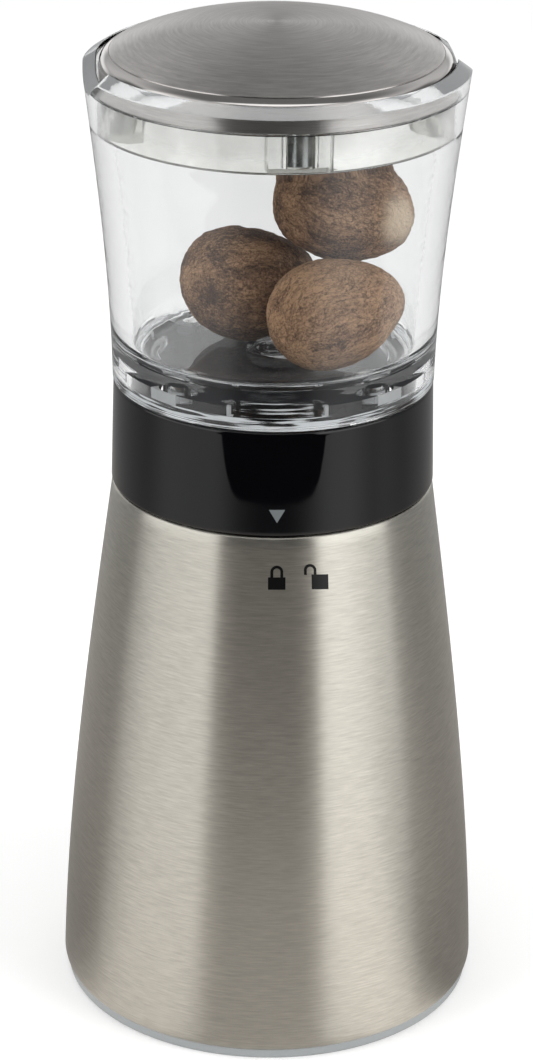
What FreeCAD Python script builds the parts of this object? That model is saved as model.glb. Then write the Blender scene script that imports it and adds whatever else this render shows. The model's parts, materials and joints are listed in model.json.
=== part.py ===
import FreeCAD, Part
import math
import os

# Twist mill for whole nutmegs. Millimetres, +Z up, origin on the table under the mill's axis.
# The front, where the lock marks are, faces -Y. Angles are in degrees, counter-clockwise from +X.

# Gaps
turn_gap = 0.3  # between pieces that turn or lift past each other
seat_gap = 0.1  # round pieces that are put in and stay
slide_gap = 0.2  # square stem in its square sleeve
bearing_gap = 0.05  # hub neck in its bearing
thrust_gap = 0.1  # end float of the hub in the collar
screw_gap = 0.05  # round screws, rivets and pins in their holes

# Shared
front_angle = -90.0  # where the lock marks are
cut_past = 1.0  # how far a cut reaches past the faces it opens
rib_bite = 0.5  # how far a rib reaches into the walls it joins

# Foot ring
foot_height = 1.55
foot_radius = 32.45
foot_edge = 0.3
foot_groove_depth = 0.6
foot_groove_inner = 24.9
foot_groove_outer = 30.2
foot_spigot_height = 2.05
foot_spigot_wall = 1.5

# Steel shell
shell_height = 83.75
shell_wall = 0.7
shell_foot_radius = 33.1
shell_foot_ease = -0.9
shell_neck_step = 0.14  # what the collar's foot stands proud of the shell
shell_neck_ease = 3.74
shell_roll_height = 1.45
shell_roll_inset = 0.6
roll_middle_inset = 0.25  # the roll's middle, as a share of its inset
roll_middle_height = 0.4  # and as a share of its height
shell_lip_radius = 31.4
shell_lip_wall = 0.7
shell_deck_width = 2.1
shell_deck_edge = 0.3

# Chamber, outlet and bayonet socket in the body
chamber_radius = 16.0
chamber_wall = 2.0
outlet_radius = 21.2
outlet_wall = 1.6
outlet_depth = 6.45
outlet_flange_radius = 29.6
outlet_flange_height = 1.8
seat_flange_height = 3.0
socket_depth = 8.6
socket_inset = 3.3  # from the neck of the shell to the inside of the socket
socket_wall = 2.0
socket_floor = 2.0
socket_sleeve_wall = 1.8
socket_sleeve_height = 4.0
lip_height = 2.4
lip_width = 1.7

# Grater
plate_thickness = 1.0
blade_count = 3
blade_start = 3.2
blade_end_gap = 0.6  # from the blades' outer ends to the chamber wall
blade_thickness = 0.5
blade_rise = 0.55
blade_lean = 1.2
blade_offset = 0.75
blade_tab = 4.5
blade_slot_gap = 0.25
tooth_count = 8
tooth_depth = 0.9
rivet_radius = 0.7
rivet_head_radius = 1.3
rivet_head_height = 0.6
rivet_inset = 2.4
plate_screw_count = 3
plate_screw_radius = 1.0
plate_screw_length = 6.0
plate_screw_head_radius = 2.0
plate_screw_head_height = 1.1
plate_screw_boss = 2.6
plate_screw_boss_height = 8.0
plate_screw_turn = 90.0
plate_screw_inset = 1.0  # from the outside of the chamber wall to the screw's axis

# Locking collar
collar_height = 16.3
collar_taper = 0.4
collar_edge = 0.4
collar_wall = 1.44
collar_ledge_width = 1.4
collar_ledge_height = 1.4
deck_drop = 3.9
deck_height = 2.0
bearing_length = 9.9
bearing_wall = 3.45
spigot_wall = 2.0
spigot_floor_gap = 0.5
carrier_rib_count = 6
carrier_rib_width = 1.4
carrier_rib_height = 5.0
lug_count = 3
lug_angle = 10.0
lug_height = 2.8
lug_side_gap = 0.4
lug_stop_play = 1.2
lug_stop_angle = 1.3
unlock_angle = 13.0

# Turning head
head_height = 50.0
bowl_foot_step = 0.11  # what the bowl's foot stands proud of the collar
bowl_foot_width = 2.95
bowl_foot_ease = 0.26
bowl_rim_radius = 28.8
bowl_rim_ease = -2.02
bowl_wall = 3.3
bowl_floor_height = 4.8
bowl_floor_thickness = 1.8
bowl_floor_fillet = 3.2
bowl_skirt_radius = 21.6
rim_bevel_height = 1.4
rim_bevel_width = 2.2
recess_depth = 4.2
dimple_radius = 4.2
dimple_depth = 0.5
centre_boss_radius = 4.3
block_count = 4
block_half_angle = 18.0
block_width = 4.0
block_drop = 1.5
screw_boss_radius = 3.0
notch_angle = 14.3
notch_depth = 3.1
notch_fall = 0.9
notch_long_side = 17.0
notch_short_side = 9.0
notch_valley = 9.5  # pull of the long side's flat bottom, along the rim
notch_brow = 6.5  # and of its rounded brow
notch_count = 2
notch_cut_height = 6.0  # how far the notch cut reaches above and outside the rim

# Ring with magnets in the mouth of the head
mouth_ring_height = 5.8
mouth_ring_ledge = 0.8  # what the lid's recess is wider than the ring
mouth_ring_wall = 1.6
magnet_count = 4
magnet_turn = 6.3
magnet_radius = 2.5
magnet_height = 4.8
magnet_inset = 3.2  # from the outside of the ring to the magnets' axes
magnet_boss_width = 9.0
magnet_boss_skin = 0.7
magnet_boss_edge = 1.2
magnet_boss_root = 0.8  # how far a boss stops short of the outside of the ring

# Hub, square sleeve and what holds them
neck_radius = 11.0
neck_below_bearing = 3.1
hub_boss_inset = 1.8  # from the hub's round boss to the heads of its screws
hub_disc_gap = 0.2  # from the disc to the skirt of the bowl around it
hub_disc_height = 2.4
hub_rise = 1.4  # how far the hub stands up in the foot of the head
hub_screw_count = 4
hub_screw_turn = 45.0
hub_screw_radius = 1.45
hub_screw_hole_depth = 2.4  # in the foot of the head
screw_end_gap = 0.3  # a screw ends this short of the bottom of its hole
hub_screw_head_radius = 2.5
hub_screw_head_height = 1.6
panel_thickness = 2.8
panel_side_angle = 1.6
thrust_washer_outer = 16.0
thrust_washer_height = 0.8
clip_washer_height = 0.6
clip_height = 0.9
clip_reach = 1.8
clip_mouth_angle = 70.0
clip_mouth_turn = 90.0
clip_groove_radius = 10.0
clip_ear_swell = 0.25
sleeve_side = 13.0
sleeve_wall = 1.0
sleeve_corner = 1.6
sleeve_foot_length = 9.5  # from the stop pin at rest down to the end of the sleeve
sleeve_cap_radius = 9.4
sleeve_cap_height = 1.2

# Plunger and claw
stem_corner = 1.0
stem_length = 46.5
stem_spigot_radius = 3.1
stem_spigot_height = 4.0
claw_travel = 24.0
claw_lift = 1.6  # from the plate to the tips of the claw at rest
claw_prong_length = 4.4
claw_prong_count = 4
claw_prong_turn = 45.0
claw_prong_width = 3.8
claw_inner_count = 3
claw_inner_turn = 90.0
claw_inner_pitch_radius = 6.0
claw_inner_length = 3.0
claw_inner_width = 2.6
claw_plate_radius = 12.0
claw_plate_thickness = 1.0
claw_holder_radius = 13.0
claw_holder_height = 3.0
claw_holder_edge = 1.0
claw_socket_depth = 1.5
claw_screw_radius = 1.4
claw_screw_length = 12.0
claw_screw_head_radius = 2.6
claw_screw_head_height = 1.4
pin_radius = 1.0
pin_above_stem_foot = 38.5
spring_wire = 1.0
spring_mean_radius = 4.0
spring_turns = 7
spring_steps = 16  # straight steps in one turn
spring_wire_sides = 6

# Lid
lid_side_height = 3.85
lid_rise = 5.0
lid_crown_radius = 110.0
lid_crown_half_width = 12.0
lid_wall = 0.9
lid_plate_thickness = 0.8
lid_plate_inset = 0.2

# Spare nutmegs, as they lie in a bowl of the first radius. Heights are from its floor to the nut's middle.
nut_bowl_radius = 21.25
nut_blunt = 0.12  # how much fatter the stalk end is than the tip, as a share of the half width
nut_steps = 10
left_nut_length = 21.9
left_nut_width = 17.7
left_nut_x = -3.7
left_nut_y = 3.3
left_nut_height = 9.1
left_nut_heading_angle = 13.4
left_nut_tilt_angle = -5.5
right_nut_length = 20.3
right_nut_width = 16.6
right_nut_x = 8.5
right_nut_y = -10.1
right_nut_height = 9.1
right_nut_heading_angle = 16.4
right_nut_tilt_angle = 16.3
top_nut_length = 22.0
top_nut_width = 17.7
top_nut_x = 10.4
top_nut_y = 1.3
top_nut_height = 22.1
top_nut_heading_angle = -6.2
top_nut_tilt_angle = -14.3

# Levels that follow from the sizes above
foot_top = foot_height
shell_top = foot_top + shell_height
plate_bottom = foot_top + outlet_depth
plate_top = plate_bottom + plate_thickness
socket_roof = shell_top - shell_wall
lip_bottom = socket_roof - lip_height
socket_bottom = socket_roof - socket_depth
collar_bottom = shell_top + turn_gap
collar_top = collar_bottom + collar_height
deck_top = collar_top - deck_drop
deck_bottom = deck_top - deck_height
bearing_bottom = deck_top - bearing_length
spigot_bottom = socket_bottom + spigot_floor_gap
washer_top = deck_top + thrust_washer_height
head_bottom = collar_top + turn_gap
bowl_floor = head_bottom + bowl_floor_height
bowl_underside = bowl_floor - bowl_floor_thickness
rim_top = head_bottom + head_height
recess_floor = rim_top - recess_depth
mouth_ring_bottom = recess_floor - mouth_ring_height
hub_shoulder = washer_top + thrust_gap
hub_top = head_bottom + hub_rise
hub_disc_bottom = hub_top - hub_disc_height
neck_bottom = bearing_bottom - neck_below_bearing
clip_washer_top = bearing_bottom - thrust_gap
clip_washer_bottom = clip_washer_top - clip_washer_height
clip_bottom = clip_washer_bottom - seat_gap - clip_height
sleeve_top = hub_top - seat_gap
sleeve_cap_bottom = sleeve_top - sleeve_cap_height
claw_tip = plate_top + claw_lift
claw_plate_bottom = claw_tip + claw_prong_length
claw_plate_top = claw_plate_bottom + claw_plate_thickness
claw_holder_top = claw_plate_top + claw_holder_height
stem_bottom = claw_holder_top - claw_socket_depth
stem_top = stem_bottom + stem_length
pin_level = stem_bottom + pin_above_stem_foot
sleeve_bottom = pin_level - sleeve_foot_length
lid_bottom = recess_floor + turn_gap
lid_shoulder = lid_bottom + lid_side_height

bowl_foot_radius = bowl_skirt_radius + bowl_foot_width
collar_top_radius = bowl_foot_radius - bowl_foot_step
collar_foot_radius = collar_top_radius + collar_taper
collar_bore = collar_top_radius - collar_wall
collar_ledge_radius = collar_bore - collar_ledge_width
shell_neck_radius = collar_foot_radius - shell_neck_step
shell_deck_radius = shell_neck_radius - shell_deck_width
socket_radius = shell_neck_radius - socket_inset
lip_radius = socket_radius - lip_width

sleeve_bore = sleeve_side - 2 * sleeve_wall
stem_side = sleeve_bore - 2 * slide_gap
spigot_radius = lip_radius - turn_gap
lug_radius = socket_radius - lug_side_gap
collar_deck_radius = collar_bore - seat_gap
bearing_bore = neck_radius + bearing_gap
plate_radius = outlet_radius - seat_gap
blade_length = chamber_radius - blade_end_gap - blade_start
plate_screw_pitch_radius = chamber_radius + chamber_wall + plate_screw_inset
recess_radius = bowl_rim_radius - rim_bevel_width
mouth_ring_radius = recess_radius - mouth_ring_ledge
magnet_pitch_radius = mouth_ring_radius - magnet_inset
lid_radius = recess_radius - turn_gap
hub_disc_radius = bowl_skirt_radius - hub_disc_gap
hub_screw_pitch_radius = bowl_skirt_radius - screw_boss_radius - turn_gap
hub_boss_radius = hub_screw_pitch_radius - hub_screw_head_radius - hub_boss_inset
panel_inner_radius = hub_disc_radius - panel_thickness


def vec(x, y, z):
    return FreeCAD.Vector(x, y, z)


class Side:
    """A flowing round side: a cubic outline whose poles are evenly spaced in height."""

    def __init__(self, low, low_radius, low_ease, high, high_radius, high_ease):
        self.low = low
        self.high = high
        self.radii = [low_radius, low_radius + low_ease, high_radius + high_ease, high_radius]

    def share(self, z):
        return (z - self.low) / (self.high - self.low)

    def radius(self, z):
        t = self.share(z)
        weights = [(1 - t) ** 3, 3 * t * (1 - t) ** 2, 3 * t * t * (1 - t), t**3]
        return sum(w * r for w, r in zip(weights, self.radii))

    def edge(self, start, end, inset=0.0):
        step = (self.high - self.low) / 3
        curve = Part.BezierCurve()
        curve.setPoles([vec(r - inset, 0, self.low + i * step) for i, r in enumerate(self.radii)])
        return curve.toShape(self.share(start), self.share(end))


shell_side = Side(
    foot_top + shell_roll_height,
    shell_foot_radius,
    shell_foot_ease,
    shell_top,
    shell_neck_radius,
    shell_neck_ease,
)
bowl_side = Side(
    head_bottom,
    bowl_foot_radius,
    bowl_foot_ease,
    rim_top - rim_bevel_height,
    bowl_rim_radius,
    bowl_rim_ease,
)


def line(a, b):
    return Part.makeLine(vec(a[0], 0, a[1]), vec(b[0], 0, b[1]))


def lines(*points):
    return [line(a, b) for a, b in zip(points, points[1:])]


def arc(a, middle, b):
    return Part.Arc(*[vec(p[0], 0, p[1]) for p in (a, middle, b)]).toShape()


def turned(edges, start=0.0, angle=360.0):
    """Revolve a closed outline in (radius, height) about the mill's axis."""
    wire = Part.Wire(Part.sortEdges(edges)[0])
    solid = Part.Face(wire).revolve(vec(0, 0, 0), vec(0, 0, 1), angle)
    solid = Part.Solid(solid) if solid.ShapeType != "Solid" else solid
    if solid.Volume < 0:
        solid.reverse()
    solid.rotate(vec(0, 0, 0), vec(0, 0, 1), start)
    return solid


def ring(inner, outer, bottom, top, start=0.0, angle=360.0):
    corners = [(inner, bottom), (outer, bottom), (outer, top), (inner, top), (inner, bottom)]
    return turned(lines(*corners), start, angle)


def rod(radius, bottom, top, x=0.0, y=0.0):
    return Part.makeCylinder(radius, top - bottom, vec(x, y, bottom))


def cross_rod(radius, length, level):
    return Part.makeCylinder(radius, length, vec(-length / 2, 0, level), vec(1, 0, 0))


def block(x, y, bottom, top):
    """A block between two x values and two y values."""
    return Part.makeBox(x[1] - x[0], y[1] - y[0], top - bottom, vec(x[0], y[0], bottom))


def square_bar(side, corner, bottom, top):
    bar = block((-side / 2, side / 2), (-side / 2, side / 2), bottom, top)
    upright = [e for e in bar.Edges if abs(e.Vertexes[0].Z - e.Vertexes[1].Z) > (top - bottom) / 2]
    return bar.makeFillet(corner, upright)


def prism(points, direction):
    """Push a flat outline of 3D points along a direction."""
    closed = [vec(*p) for p in points] + [vec(*points[0])]
    return Part.Face(Part.makePolygon(closed)).extrude(vec(*direction))


def turn(shape, angle):
    copy = shape.copy()
    copy.rotate(vec(0, 0, 0), vec(0, 0, 1), angle)
    return copy


def around(shape, count, start=0.0):
    return [turn(shape, start + i * 360.0 / count) for i in range(count)]


def join(first, *rest):
    shapes = []
    for item in rest:
        shapes.extend(item if isinstance(item, list) else [item])
    return first.fuse(shapes).removeSplitter()


def cut(first, *tools):
    shapes = []
    for item in tools:
        shapes.extend(item if isinstance(item, list) else [item])
    return first.cut(shapes).removeSplitter()


def keep(name, shape):
    """Write one piece, or a group of like pieces, as its own file."""
    solids = shape if isinstance(shape, list) else shape.Solids
    solids = [s for item in solids for s in item.Solids]
    result = solids[0] if len(solids) == 1 else Part.makeCompound(solids)
    result.exportStep("parts/" + name + ".step")


# Base: what stands on the table


def foot_ring():
    inner = outlet_radius + outlet_wall + turn_gap
    spigot_outer = shell_lip_radius - seat_gap
    spigot_inner = spigot_outer - foot_spigot_wall
    spigot_top = foot_top + foot_spigot_height
    outline = lines(
        (inner, 0),
        (foot_groove_inner, 0),
        (foot_groove_inner, foot_groove_depth),
        (foot_groove_outer, foot_groove_depth),
        (foot_groove_outer, 0),
        (foot_radius - foot_edge, 0),
        (foot_radius, foot_edge),
        (foot_radius, foot_top),
        (spigot_outer, foot_top),
        (spigot_outer, spigot_top),
        (spigot_inner, spigot_top),
        (spigot_inner, foot_top),
        (inner, foot_top),
        (inner, 0),
    )
    return turned(outline)


def steel_shell():
    roll_top = foot_top + shell_roll_height
    roll_start = (shell_foot_radius - shell_roll_inset, foot_top)
    roll_middle = (
        shell_foot_radius - shell_roll_inset * roll_middle_inset,
        foot_top + shell_roll_height * roll_middle_height,
    )
    roll_end = (shell_side.radius(roll_top), roll_top)
    lip_top = foot_top + shell_lip_wall
    inner_foot = (shell_side.radius(roll_top) - shell_wall, roll_top)
    inner_top = (shell_side.radius(socket_roof) - shell_wall, socket_roof)
    edge_level = shell_top - shell_deck_edge
    outline = [arc(roll_start, roll_middle, roll_end)]
    outline.append(shell_side.edge(roll_top, edge_level))
    outline += lines(
        (shell_side.radius(edge_level), edge_level),
        (shell_neck_radius - shell_deck_edge, shell_top),
        (shell_deck_radius, shell_top),
        (shell_deck_radius, socket_roof),
        inner_top,
    )
    outline.append(shell_side.edge(roll_top, socket_roof, shell_wall))
    outline += lines(
        inner_foot,
        (inner_foot[0], lip_top),
        (shell_lip_radius, lip_top),
        (shell_lip_radius, foot_top),
        roll_start,
    )
    return turned(outline)


def chamber_tube():
    """The tube a nutmeg is grated in, its seat for the grater, and the outlet skirt with a flange on the foot."""
    chamber_outer = chamber_radius + chamber_wall
    outlet_outer = outlet_radius + outlet_wall
    seat_top = plate_top + seat_flange_height
    flange_top = foot_top + outlet_flange_height
    outline = lines(
        (chamber_radius, plate_top),
        (outlet_radius, plate_top),
        (outlet_radius, foot_top),
        (outlet_flange_radius, foot_top),
        (outlet_flange_radius, flange_top),
        (outlet_outer, flange_top),
        (outlet_outer, seat_top),
        (chamber_outer, seat_top),
        (chamber_outer, socket_bottom),
        (chamber_radius, socket_bottom),
        (chamber_radius, plate_top),
    )
    boss_top = plate_top + plate_screw_boss_height
    boss = rod(plate_screw_boss, plate_top, boss_top, plate_screw_pitch_radius)
    hole_top = plate_top + plate_screw_length
    hole = rod(plate_screw_radius + screw_gap, plate_top, hole_top, plate_screw_pitch_radius)
    chamber = rod(chamber_radius, plate_top - cut_past, socket_bottom + cut_past)
    tube = join(turned(outline), around(boss, plate_screw_count, plate_screw_turn))
    return cut(tube, chamber, around(hole, plate_screw_count, plate_screw_turn))


def bayonet_socket():
    """Ring in the neck of the shell, on the top of the chamber tube. The head's lugs lock under its lip."""
    sleeve_inner = chamber_radius + chamber_wall + seat_gap
    sleeve_outer = sleeve_inner + socket_sleeve_wall
    socket_outer = socket_radius + socket_wall
    floor_bottom = socket_bottom - socket_floor
    outline = lines(
        (sleeve_inner, floor_bottom - socket_sleeve_height),
        (sleeve_outer, floor_bottom - socket_sleeve_height),
        (sleeve_outer, floor_bottom),
        (socket_outer, floor_bottom),
        (socket_outer, socket_roof),
        (lip_radius, socket_roof),
        (lip_radius, lip_bottom),
        (socket_radius, lip_bottom),
        (socket_radius, socket_bottom),
        (sleeve_inner, socket_bottom),
        (sleeve_inner, floor_bottom - socket_sleeve_height),
    )
    entry_half = lug_angle / 2 + lug_stop_play
    entry = ring(
        lip_radius - cut_past,
        socket_radius + seat_gap,
        lip_bottom - cut_past,
        socket_roof + cut_past,
        unlock_angle - entry_half,
        2 * entry_half,
    )
    locked_stop = ring(
        spigot_radius + turn_gap,
        socket_radius + seat_gap,
        lip_bottom - lug_height - turn_gap,
        lip_bottom,
        -entry_half - lug_stop_angle,
        lug_stop_angle,
    )
    open_stop = turn(locked_stop, unlock_angle + 2 * entry_half + lug_stop_angle)
    socket = cut(turned(outline), around(entry, lug_count, front_angle))
    stops = around(locked_stop, lug_count, front_angle) + around(open_stop, lug_count, front_angle)
    return join(socket, stops)


def grater_plate():
    slot = block(
        (blade_start - blade_slot_gap, blade_start + blade_length + blade_slot_gap),
        (blade_offset - blade_slot_gap, blade_offset + blade_lean + blade_thickness + blade_slot_gap),
        plate_bottom - cut_past,
        plate_top + cut_past,
    )
    low = plate_bottom - cut_past
    high = plate_top + cut_past
    holes = []
    for x, y in rivet_places():
        holes += around(rod(rivet_radius + screw_gap, low, high, x, y), blade_count)
    screw_hole = rod(plate_screw_radius + 2 * screw_gap, low, high, plate_screw_pitch_radius)
    holes += around(screw_hole, plate_screw_count, plate_screw_turn)
    return cut(rod(plate_radius, plate_bottom, plate_top), around(slot, blade_count), holes)


def rivet_places():
    tab_middle = blade_offset + blade_lean + blade_thickness + blade_tab / 2
    near = blade_start + rivet_inset
    far = blade_start + blade_length - rivet_inset
    return [(near, tab_middle), (far, tab_middle)]


def grater_blades():
    """Bent strips: a tab under the plate and a leaf that leans up through the slot and ends in teeth."""
    tab_bottom = plate_bottom - blade_thickness
    edge = plate_top + blade_rise
    heel = blade_offset + blade_lean
    tab_end = heel + blade_thickness + blade_tab
    section = [
        (blade_start, tab_end, tab_bottom),
        (blade_start, tab_end, plate_bottom),
        (blade_start, heel + blade_thickness, plate_bottom),
        (blade_start, blade_offset + blade_thickness, edge),
        (blade_start, blade_offset, edge),
        (blade_start, heel, tab_bottom),
    ]
    strip = prism(section, (blade_length, 0, 0))
    pitch = blade_length / tooth_count
    notches = []
    for i in range(tooth_count):
        middle = blade_start + (i + 0.5) * pitch
        notch = [
            (middle - pitch / 2, 0, edge + seat_gap),
            (middle + pitch / 2, 0, edge + seat_gap),
            (middle, 0, edge - tooth_depth),
        ]
        notches.append(prism(notch, (0, heel + blade_thickness, 0)))
    low = tab_bottom - cut_past
    high = plate_bottom + cut_past
    holes = [rod(rivet_radius + screw_gap, low, high, x, y) for x, y in rivet_places()]
    return around(cut(strip, notches, holes), blade_count)


def blade_rivets():
    tab_bottom = plate_bottom - blade_thickness
    rivets = []
    for x, y in rivet_places():
        head = rod(rivet_head_radius, tab_bottom - rivet_head_height, tab_bottom, x, y)
        rivets += around(join(rod(rivet_radius, tab_bottom, plate_top, x, y), head), blade_count)
    return rivets


def plate_screws():
    low = plate_bottom - plate_screw_head_height
    high = plate_top + plate_screw_length - screw_end_gap
    head = rod(plate_screw_head_radius, low, plate_bottom, plate_screw_pitch_radius)
    shank = rod(plate_screw_radius, plate_bottom, high, plate_screw_pitch_radius)
    return around(join(shank, head), plate_screw_count, plate_screw_turn)


# Collar: what turns a little to lock the head on


def collar_ring():
    ledge_bottom = deck_bottom - collar_ledge_height
    outline = lines(
        (collar_bore, collar_bottom),
        (collar_foot_radius - collar_edge, collar_bottom),
        (collar_foot_radius, collar_bottom + collar_edge),
        (collar_top_radius, collar_top - collar_edge),
        (collar_top_radius - collar_edge, collar_top),
        (collar_bore, collar_top),
        (collar_bore, deck_bottom),
        (collar_ledge_radius, deck_bottom),
        (collar_ledge_radius, ledge_bottom),
        (collar_bore, ledge_bottom - (collar_bore - collar_ledge_radius)),
        (collar_bore, collar_bottom),
    )
    return turned(outline)


def bayonet_carrier():
    bearing_outer = bearing_bore + bearing_wall
    spigot_inner = spigot_radius - spigot_wall
    outline = lines(
        (bearing_bore, bearing_bottom),
        (bearing_outer, bearing_bottom),
        (bearing_outer, deck_bottom),
        (spigot_inner, deck_bottom),
        (spigot_inner, spigot_bottom),
        (spigot_radius, spigot_bottom),
        (spigot_radius, deck_bottom),
        (collar_deck_radius, deck_bottom),
        (collar_deck_radius, deck_top),
        (bearing_bore, deck_top),
        (bearing_bore, bearing_bottom),
    )
    lug_top = lip_bottom - turn_gap
    lug_bottom = lug_top - lug_height
    lug = ring(spigot_radius - seat_gap, lug_radius, lug_bottom, lug_top, -lug_angle / 2, lug_angle)
    rib = block(
        (bearing_outer - rib_bite, spigot_inner + rib_bite),
        (-carrier_rib_width / 2, carrier_rib_width / 2),
        deck_bottom - carrier_rib_height,
        deck_bottom,
    )
    return join(turned(outline), around(lug, lug_count, front_angle), around(rib, carrier_rib_count))


def thrust_washer():
    return ring(bearing_bore + seat_gap, thrust_washer_outer, deck_top, washer_top)


# Head: what the hand turns


def rim_notch():
    """A finger notch: the rim sinks in a long S-curve to a crease and climbs back in a short arc."""
    edge = rim_top - rim_bevel_height
    start = recess_radius - cut_past
    lift = notch_fall * (bowl_rim_radius - start)
    roof = edge + lift + notch_cut_height
    crease = edge + lift - notch_depth

    long_slope = Part.BezierCurve()
    long_slope.setPoles(
        [
            vec(start, 0, crease),
            vec(start, -notch_valley, crease),
            vec(start, notch_brow - notch_long_side, edge + lift),
            vec(start, -notch_long_side, edge + lift),
        ]
    )
    radius = (notch_short_side**2 + notch_depth**2) / (2 * notch_depth)
    half = notch_short_side / 2
    drop = radius - math.sqrt(radius**2 - half**2)
    middle = vec(start, half, edge + lift - drop)
    far = vec(start, -notch_long_side, edge + lift)
    near = vec(start, notch_short_side, edge + lift)
    top_far = vec(start, -notch_long_side, roof)
    top_near = vec(start, notch_short_side, roof)
    edges = [long_slope.toShape(), Part.Arc(vec(start, 0, crease), middle, near).toShape()]
    edges.append(Part.makeLine(far, top_far))
    edges.append(Part.makeLine(top_far, top_near))
    edges.append(Part.makeLine(top_near, near))
    reach = bowl_rim_radius - start + notch_cut_height
    face = Part.Face(Part.Wire(Part.sortEdges(edges)[0]))
    return face.extrude(vec(reach, 0, -notch_fall * reach))


def head_bowl():
    floor_wall = bowl_side.radius(bowl_floor) - bowl_wall
    seat_radius = mouth_ring_radius + seat_gap
    seat_wall = bowl_side.radius(mouth_ring_bottom) - bowl_wall
    bevel_bottom = rim_top - rim_bevel_height
    outline = [bowl_side.edge(head_bottom, bevel_bottom)]
    outline += lines(
        (bowl_rim_radius, bevel_bottom),
        (recess_radius, rim_top),
        (recess_radius, recess_floor),
        (seat_radius, recess_floor),
        (seat_radius, mouth_ring_bottom),
        (seat_wall, mouth_ring_bottom),
    )
    outline.append(bowl_side.edge(bowl_floor + bowl_floor_fillet, mouth_ring_bottom, bowl_wall))
    corner = bowl_floor_fillet * (1 - math.sqrt(0.5))
    fillet_level = bowl_floor + bowl_floor_fillet
    fillet_top = (bowl_side.radius(fillet_level) - bowl_wall, fillet_level)
    fillet_middle = (floor_wall - corner, bowl_floor + corner)
    fillet_end = (floor_wall - bowl_floor_fillet, bowl_floor)
    outline.append(arc(fillet_top, fillet_middle, fillet_end))
    outline += lines(
        (floor_wall - bowl_floor_fillet, bowl_floor),
        (dimple_radius, bowl_floor),
        (dimple_radius - dimple_depth, bowl_floor - dimple_depth),
        (0, bowl_floor - dimple_depth),
        (0, hub_top + seat_gap),
        (centre_boss_radius, hub_top + seat_gap),
        (centre_boss_radius, bowl_underside),
        (bowl_skirt_radius, bowl_underside),
        (bowl_skirt_radius, head_bottom),
        (bowl_foot_radius, head_bottom),
    )
    block_foot = bowl_underside - block_drop
    clear_block = ring(
        bowl_skirt_radius - block_width,
        bowl_skirt_radius + seat_gap,
        block_foot,
        bowl_underside + seat_gap,
        -block_half_angle,
        2 * block_half_angle,
    )
    boss = rod(screw_boss_radius, hub_top + seat_gap, bowl_underside + seat_gap, hub_screw_pitch_radius)
    hole_top = hub_top + hub_screw_hole_depth
    hole = rod(hub_screw_radius + screw_gap, hub_top, hole_top, hub_screw_pitch_radius)
    bosses = around(boss, hub_screw_count, hub_screw_turn)
    bowl = join(turned(outline), around(clear_block, block_count), bosses)
    holes = around(hole, hub_screw_count, hub_screw_turn)
    return cut(bowl, holes, around(rim_notch(), notch_count, notch_angle))


def magnet_ring():
    inner = mouth_ring_radius - mouth_ring_wall
    boss_inner = magnet_pitch_radius - magnet_radius - magnet_boss_skin
    half = magnet_boss_width / 2
    boss_outer = mouth_ring_radius - magnet_boss_root
    boss = block((boss_inner, boss_outer), (-half, half), mouth_ring_bottom, recess_floor)
    inside = (boss_inner + boss_outer) / 2
    corners = [e for e in boss.Edges if all(v.X < inside for v in e.Vertexes)]
    corners = [e for e in corners if abs(e.Vertexes[0].Z - e.Vertexes[1].Z) > mouth_ring_height / 2]
    boss = boss.makeFillet(magnet_boss_edge, corners)
    pocket_bottom = recess_floor - magnet_height
    pocket_radius = magnet_radius + screw_gap
    pocket = rod(pocket_radius, pocket_bottom, recess_floor + cut_past, magnet_pitch_radius)
    body = ring(inner, mouth_ring_radius, mouth_ring_bottom, recess_floor)
    body = join(body, around(boss, magnet_count, magnet_turn))
    return cut(body, around(pocket, magnet_count, magnet_turn))


def lid_magnets():
    magnet = rod(magnet_radius, recess_floor - magnet_height, recess_floor, magnet_pitch_radius)
    return around(magnet, magnet_count, magnet_turn)


def drive_hub():
    clip_top = clip_washer_bottom
    groove_bottom = clip_bottom - seat_gap
    outline = lines(
        (0, neck_bottom),
        (neck_radius, neck_bottom),
        (neck_radius, groove_bottom),
        (clip_groove_radius, groove_bottom),
        (clip_groove_radius, clip_top),
        (neck_radius, clip_top),
        (neck_radius, hub_shoulder),
        (hub_boss_radius, hub_shoulder),
        (hub_boss_radius, hub_disc_bottom),
        (hub_disc_radius, hub_disc_bottom),
        (hub_disc_radius, hub_top),
        (0, hub_top),
        (0, neck_bottom),
    )
    boss_half = math.degrees(math.asin((screw_boss_radius + seat_gap) / hub_screw_pitch_radius))
    panel_start = block_half_angle + panel_side_angle
    panel_end = hub_screw_turn - boss_half - panel_side_angle
    panel = ring(
        panel_inner_radius,
        hub_disc_radius,
        hub_top,
        bowl_underside - seat_gap,
        panel_start,
        panel_end - panel_start,
    )
    mirrored = turn(panel, 360.0 / block_count - panel_start - panel_end)
    square_side = sleeve_side + 2 * screw_gap
    square = square_bar(square_side, sleeve_corner, neck_bottom - cut_past, sleeve_cap_bottom)
    cap_seat = rod(sleeve_cap_radius + seat_gap, sleeve_cap_bottom, hub_top + cut_past)
    low = hub_disc_bottom - cut_past
    high = hub_top + cut_past
    hole = rod(hub_screw_radius + screw_gap, low, high, hub_screw_pitch_radius)
    hub = join(turned(outline), around(panel, block_count), around(mirrored, block_count))
    return cut(hub, square, cap_seat, around(hole, hub_screw_count, hub_screw_turn))


def hub_screws():
    low = hub_disc_bottom - hub_screw_head_height
    high = hub_top + hub_screw_hole_depth - screw_end_gap
    head = rod(hub_screw_head_radius, low, hub_disc_bottom, hub_screw_pitch_radius)
    shank = rod(hub_screw_radius, hub_disc_bottom, high, hub_screw_pitch_radius)
    return around(join(shank, head), hub_screw_count, hub_screw_turn)


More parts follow.
